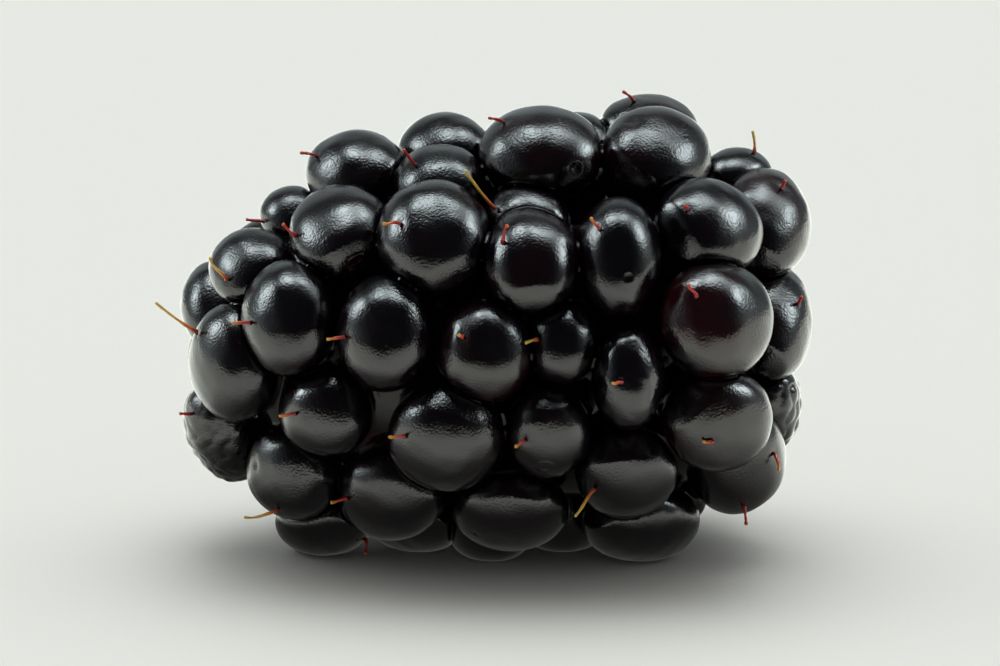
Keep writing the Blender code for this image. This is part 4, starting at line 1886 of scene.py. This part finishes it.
@dataclass
class Studio:
    """Pale sheet, soft lights and camera.

    Args:
        layout: the berry's layout.
        move: how far the layout was moved.
        lens: focal length, in millimetres.
        sensor: width of the camera's sensor.
        clip: nearest and farthest distance that the camera sees, in metres.
        sheet: half size of the sheet, in metres.
        base_light: light from everywhere on dull things.
        dim: brightness of the mirrored room, behind the berry and around the eye.
        wall: brightness of the mirrored wall behind the berry.
        tint: colour of all the light.
        backdrop: what the eye sees past the sheet.
    """

    layout: Layout
    move: Array
    lens: float = 175.0
    sensor: float = 36.0
    clip: tuple[float, float] = (0.01, 10.0)
    sheet: float = 0.9
    base_light: float = 0.30
    dim: tuple[float, float] = (0.11, 0.025)
    wall: float = 0.45
    tint: tuple[float, float, float] = (0.88, 1.0, 1.02)
    backdrop: Colour = (0.83, 0.86, 0.82, 1.0)

    def build(self) -> None:
        """Build everything."""
        self.add_camera()
        self.add_sheet()
        self.add_lights()
        bpy.context.scene.view_settings.view_transform = "Standard"

    def add_camera(self) -> None:
        """Add the camera where the layout's eye is."""
        deselect_all()
        place = (self.layout.eye_distance * self.layout.toward + self.move) * MM
        turn = Matrix(np.column_stack((self.layout.right, self.layout.up, self.layout.toward))).to_euler()
        bpy.ops.object.camera_add(location=place, rotation=turn)
        camera = bpy.context.object
        camera.name = "camera"
        camera.data.lens = self.lens
        camera.data.sensor_width = self.sensor
        camera.data.clip_start, camera.data.clip_end = self.clip
        bpy.context.scene.camera = camera

    def add_sheet(self) -> None:
        """Add the pale sheet that the berry lies on."""
        deselect_all()
        bpy.ops.mesh.primitive_plane_add(size=2.0 * self.sheet, location=(0.0, 0.0, 0.0))
        sheet = bpy.context.object
        sheet.name = "pale_sheet"
        sheet.data.materials.append(TableFinish().make())

    def add_lights(self) -> None:
        """Set the surroundings: dim above, dark towards the eye, a pale wall behind and the soft lights."""
        world = bpy.data.worlds.new("studio")
        bpy.context.scene.world = world
        world.use_nodes = True
        nodes = Nodes(world.node_tree)
        background = world.node_tree.nodes["Background"]
        way = nodes.add("ShaderNodeTexCoord").outputs["Generated"]
        toward = Vector(self.layout.toward)
        light = nodes.remap(self.share(nodes, way, toward), -0.6, 0.5, *self.dim)
        axes = Matrix(np.column_stack((self.layout.right, self.layout.up, self.layout.toward)))
        for soft in SOFT_LIGHTS:
            middle = (axes @ Vector(soft.way)).normalized()
            light = nodes.math("ADD", light, self.glow(nodes, way, middle, soft))
        behind = self.share(nodes, way, Vector((0.0, 1.0, 0.15)).normalized())
        light = nodes.math("ADD", light, nodes.remap(behind, 0.70, 0.88, 0.0, self.wall))
        dome = self.base_light
        for broad in BROAD_LIGHTS:
            middle = Vector(broad.way).normalized()
            dome = nodes.math("ADD", dome, self.glow(nodes, way, middle, broad))
        paths = nodes.add("ShaderNodeLightPath")
        mirrored = paths.outputs["Is Glossy Ray"]
        light = nodes.math("ADD", nodes.math("MULTIPLY", light, mirrored),
                           nodes.math("MULTIPLY", dome, nodes.math("SUBTRACT", 1.0, mirrored)))
        tint = nodes.add("ShaderNodeCombineColor")
        for channel, share in zip(("Red", "Green", "Blue"), self.tint):
            nodes.feed(tint, channel, nodes.math("MULTIPLY", light, share))
        seen = nodes.blend(paths.outputs["Is Camera Ray"], tint.outputs[0], self.backdrop)
        nodes.feed(background, "Color", seen)

    def glow(self, nodes: Nodes, way: Socket, middle: Vector, soft: SoftLight) -> Socket:
        """Brightness of a soft light in a direction.

        Args:
            nodes: the node helper.
            way: the direction.
            middle: unit direction of the light's middle.
            soft: the light.

        Returns:
            The brightness.
        """
        nearness = nodes.math("MAXIMUM", self.share(nodes, way, middle), 0.0)
        return nodes.math("MULTIPLY", nodes.math("POWER", nearness, soft.tightness), soft.bright)

    def share(self, nodes: Nodes, way: Socket, middle: Vector) -> Socket:
        """Cosine of the angle between a direction and a middle one.

        Args:
            nodes: the node helper.
            way: the direction.
            middle: unit direction to compare it with.

        Returns:
            The cosine.
        """
        node = nodes.add("ShaderNodeVectorMath", operation="DOT_PRODUCT")
        nodes.feed(node, 0, way)
        nodes.feed(node, 1, middle)
        return node.outputs["Value"]


def main() -> None:
    """Dress the berry and light it."""
    logging.basicConfig(level=logging.INFO)
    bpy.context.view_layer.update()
    layout = Layout()
    near, far, move = layout.drupelets()
    LOG.info("%d near and %d far drupelets", len(near), len(far))

    skin = SkinFinish().make()
    drupelets = Drupelets(layout, near, far, move)
    drupelets.build()
    styles = Styles(drupelets)
    drupelets.dent(styles.find_ends())
    for piece in drupelets.pieces:
        piece.hand_in(skin)

    finishes = {tint: StyleFinish(tint).make() for tint in Tint}
    for piece, tint in styles.build():
        piece.hand_in(finishes[tint])

    Juice(drupelets).build().hand_in(JuiceFinish().make())
    StemScar(layout, move).build().hand_in(ScarFinish().make())
    Studio(layout, move).build()


if __name__ == "__main__":
    main()
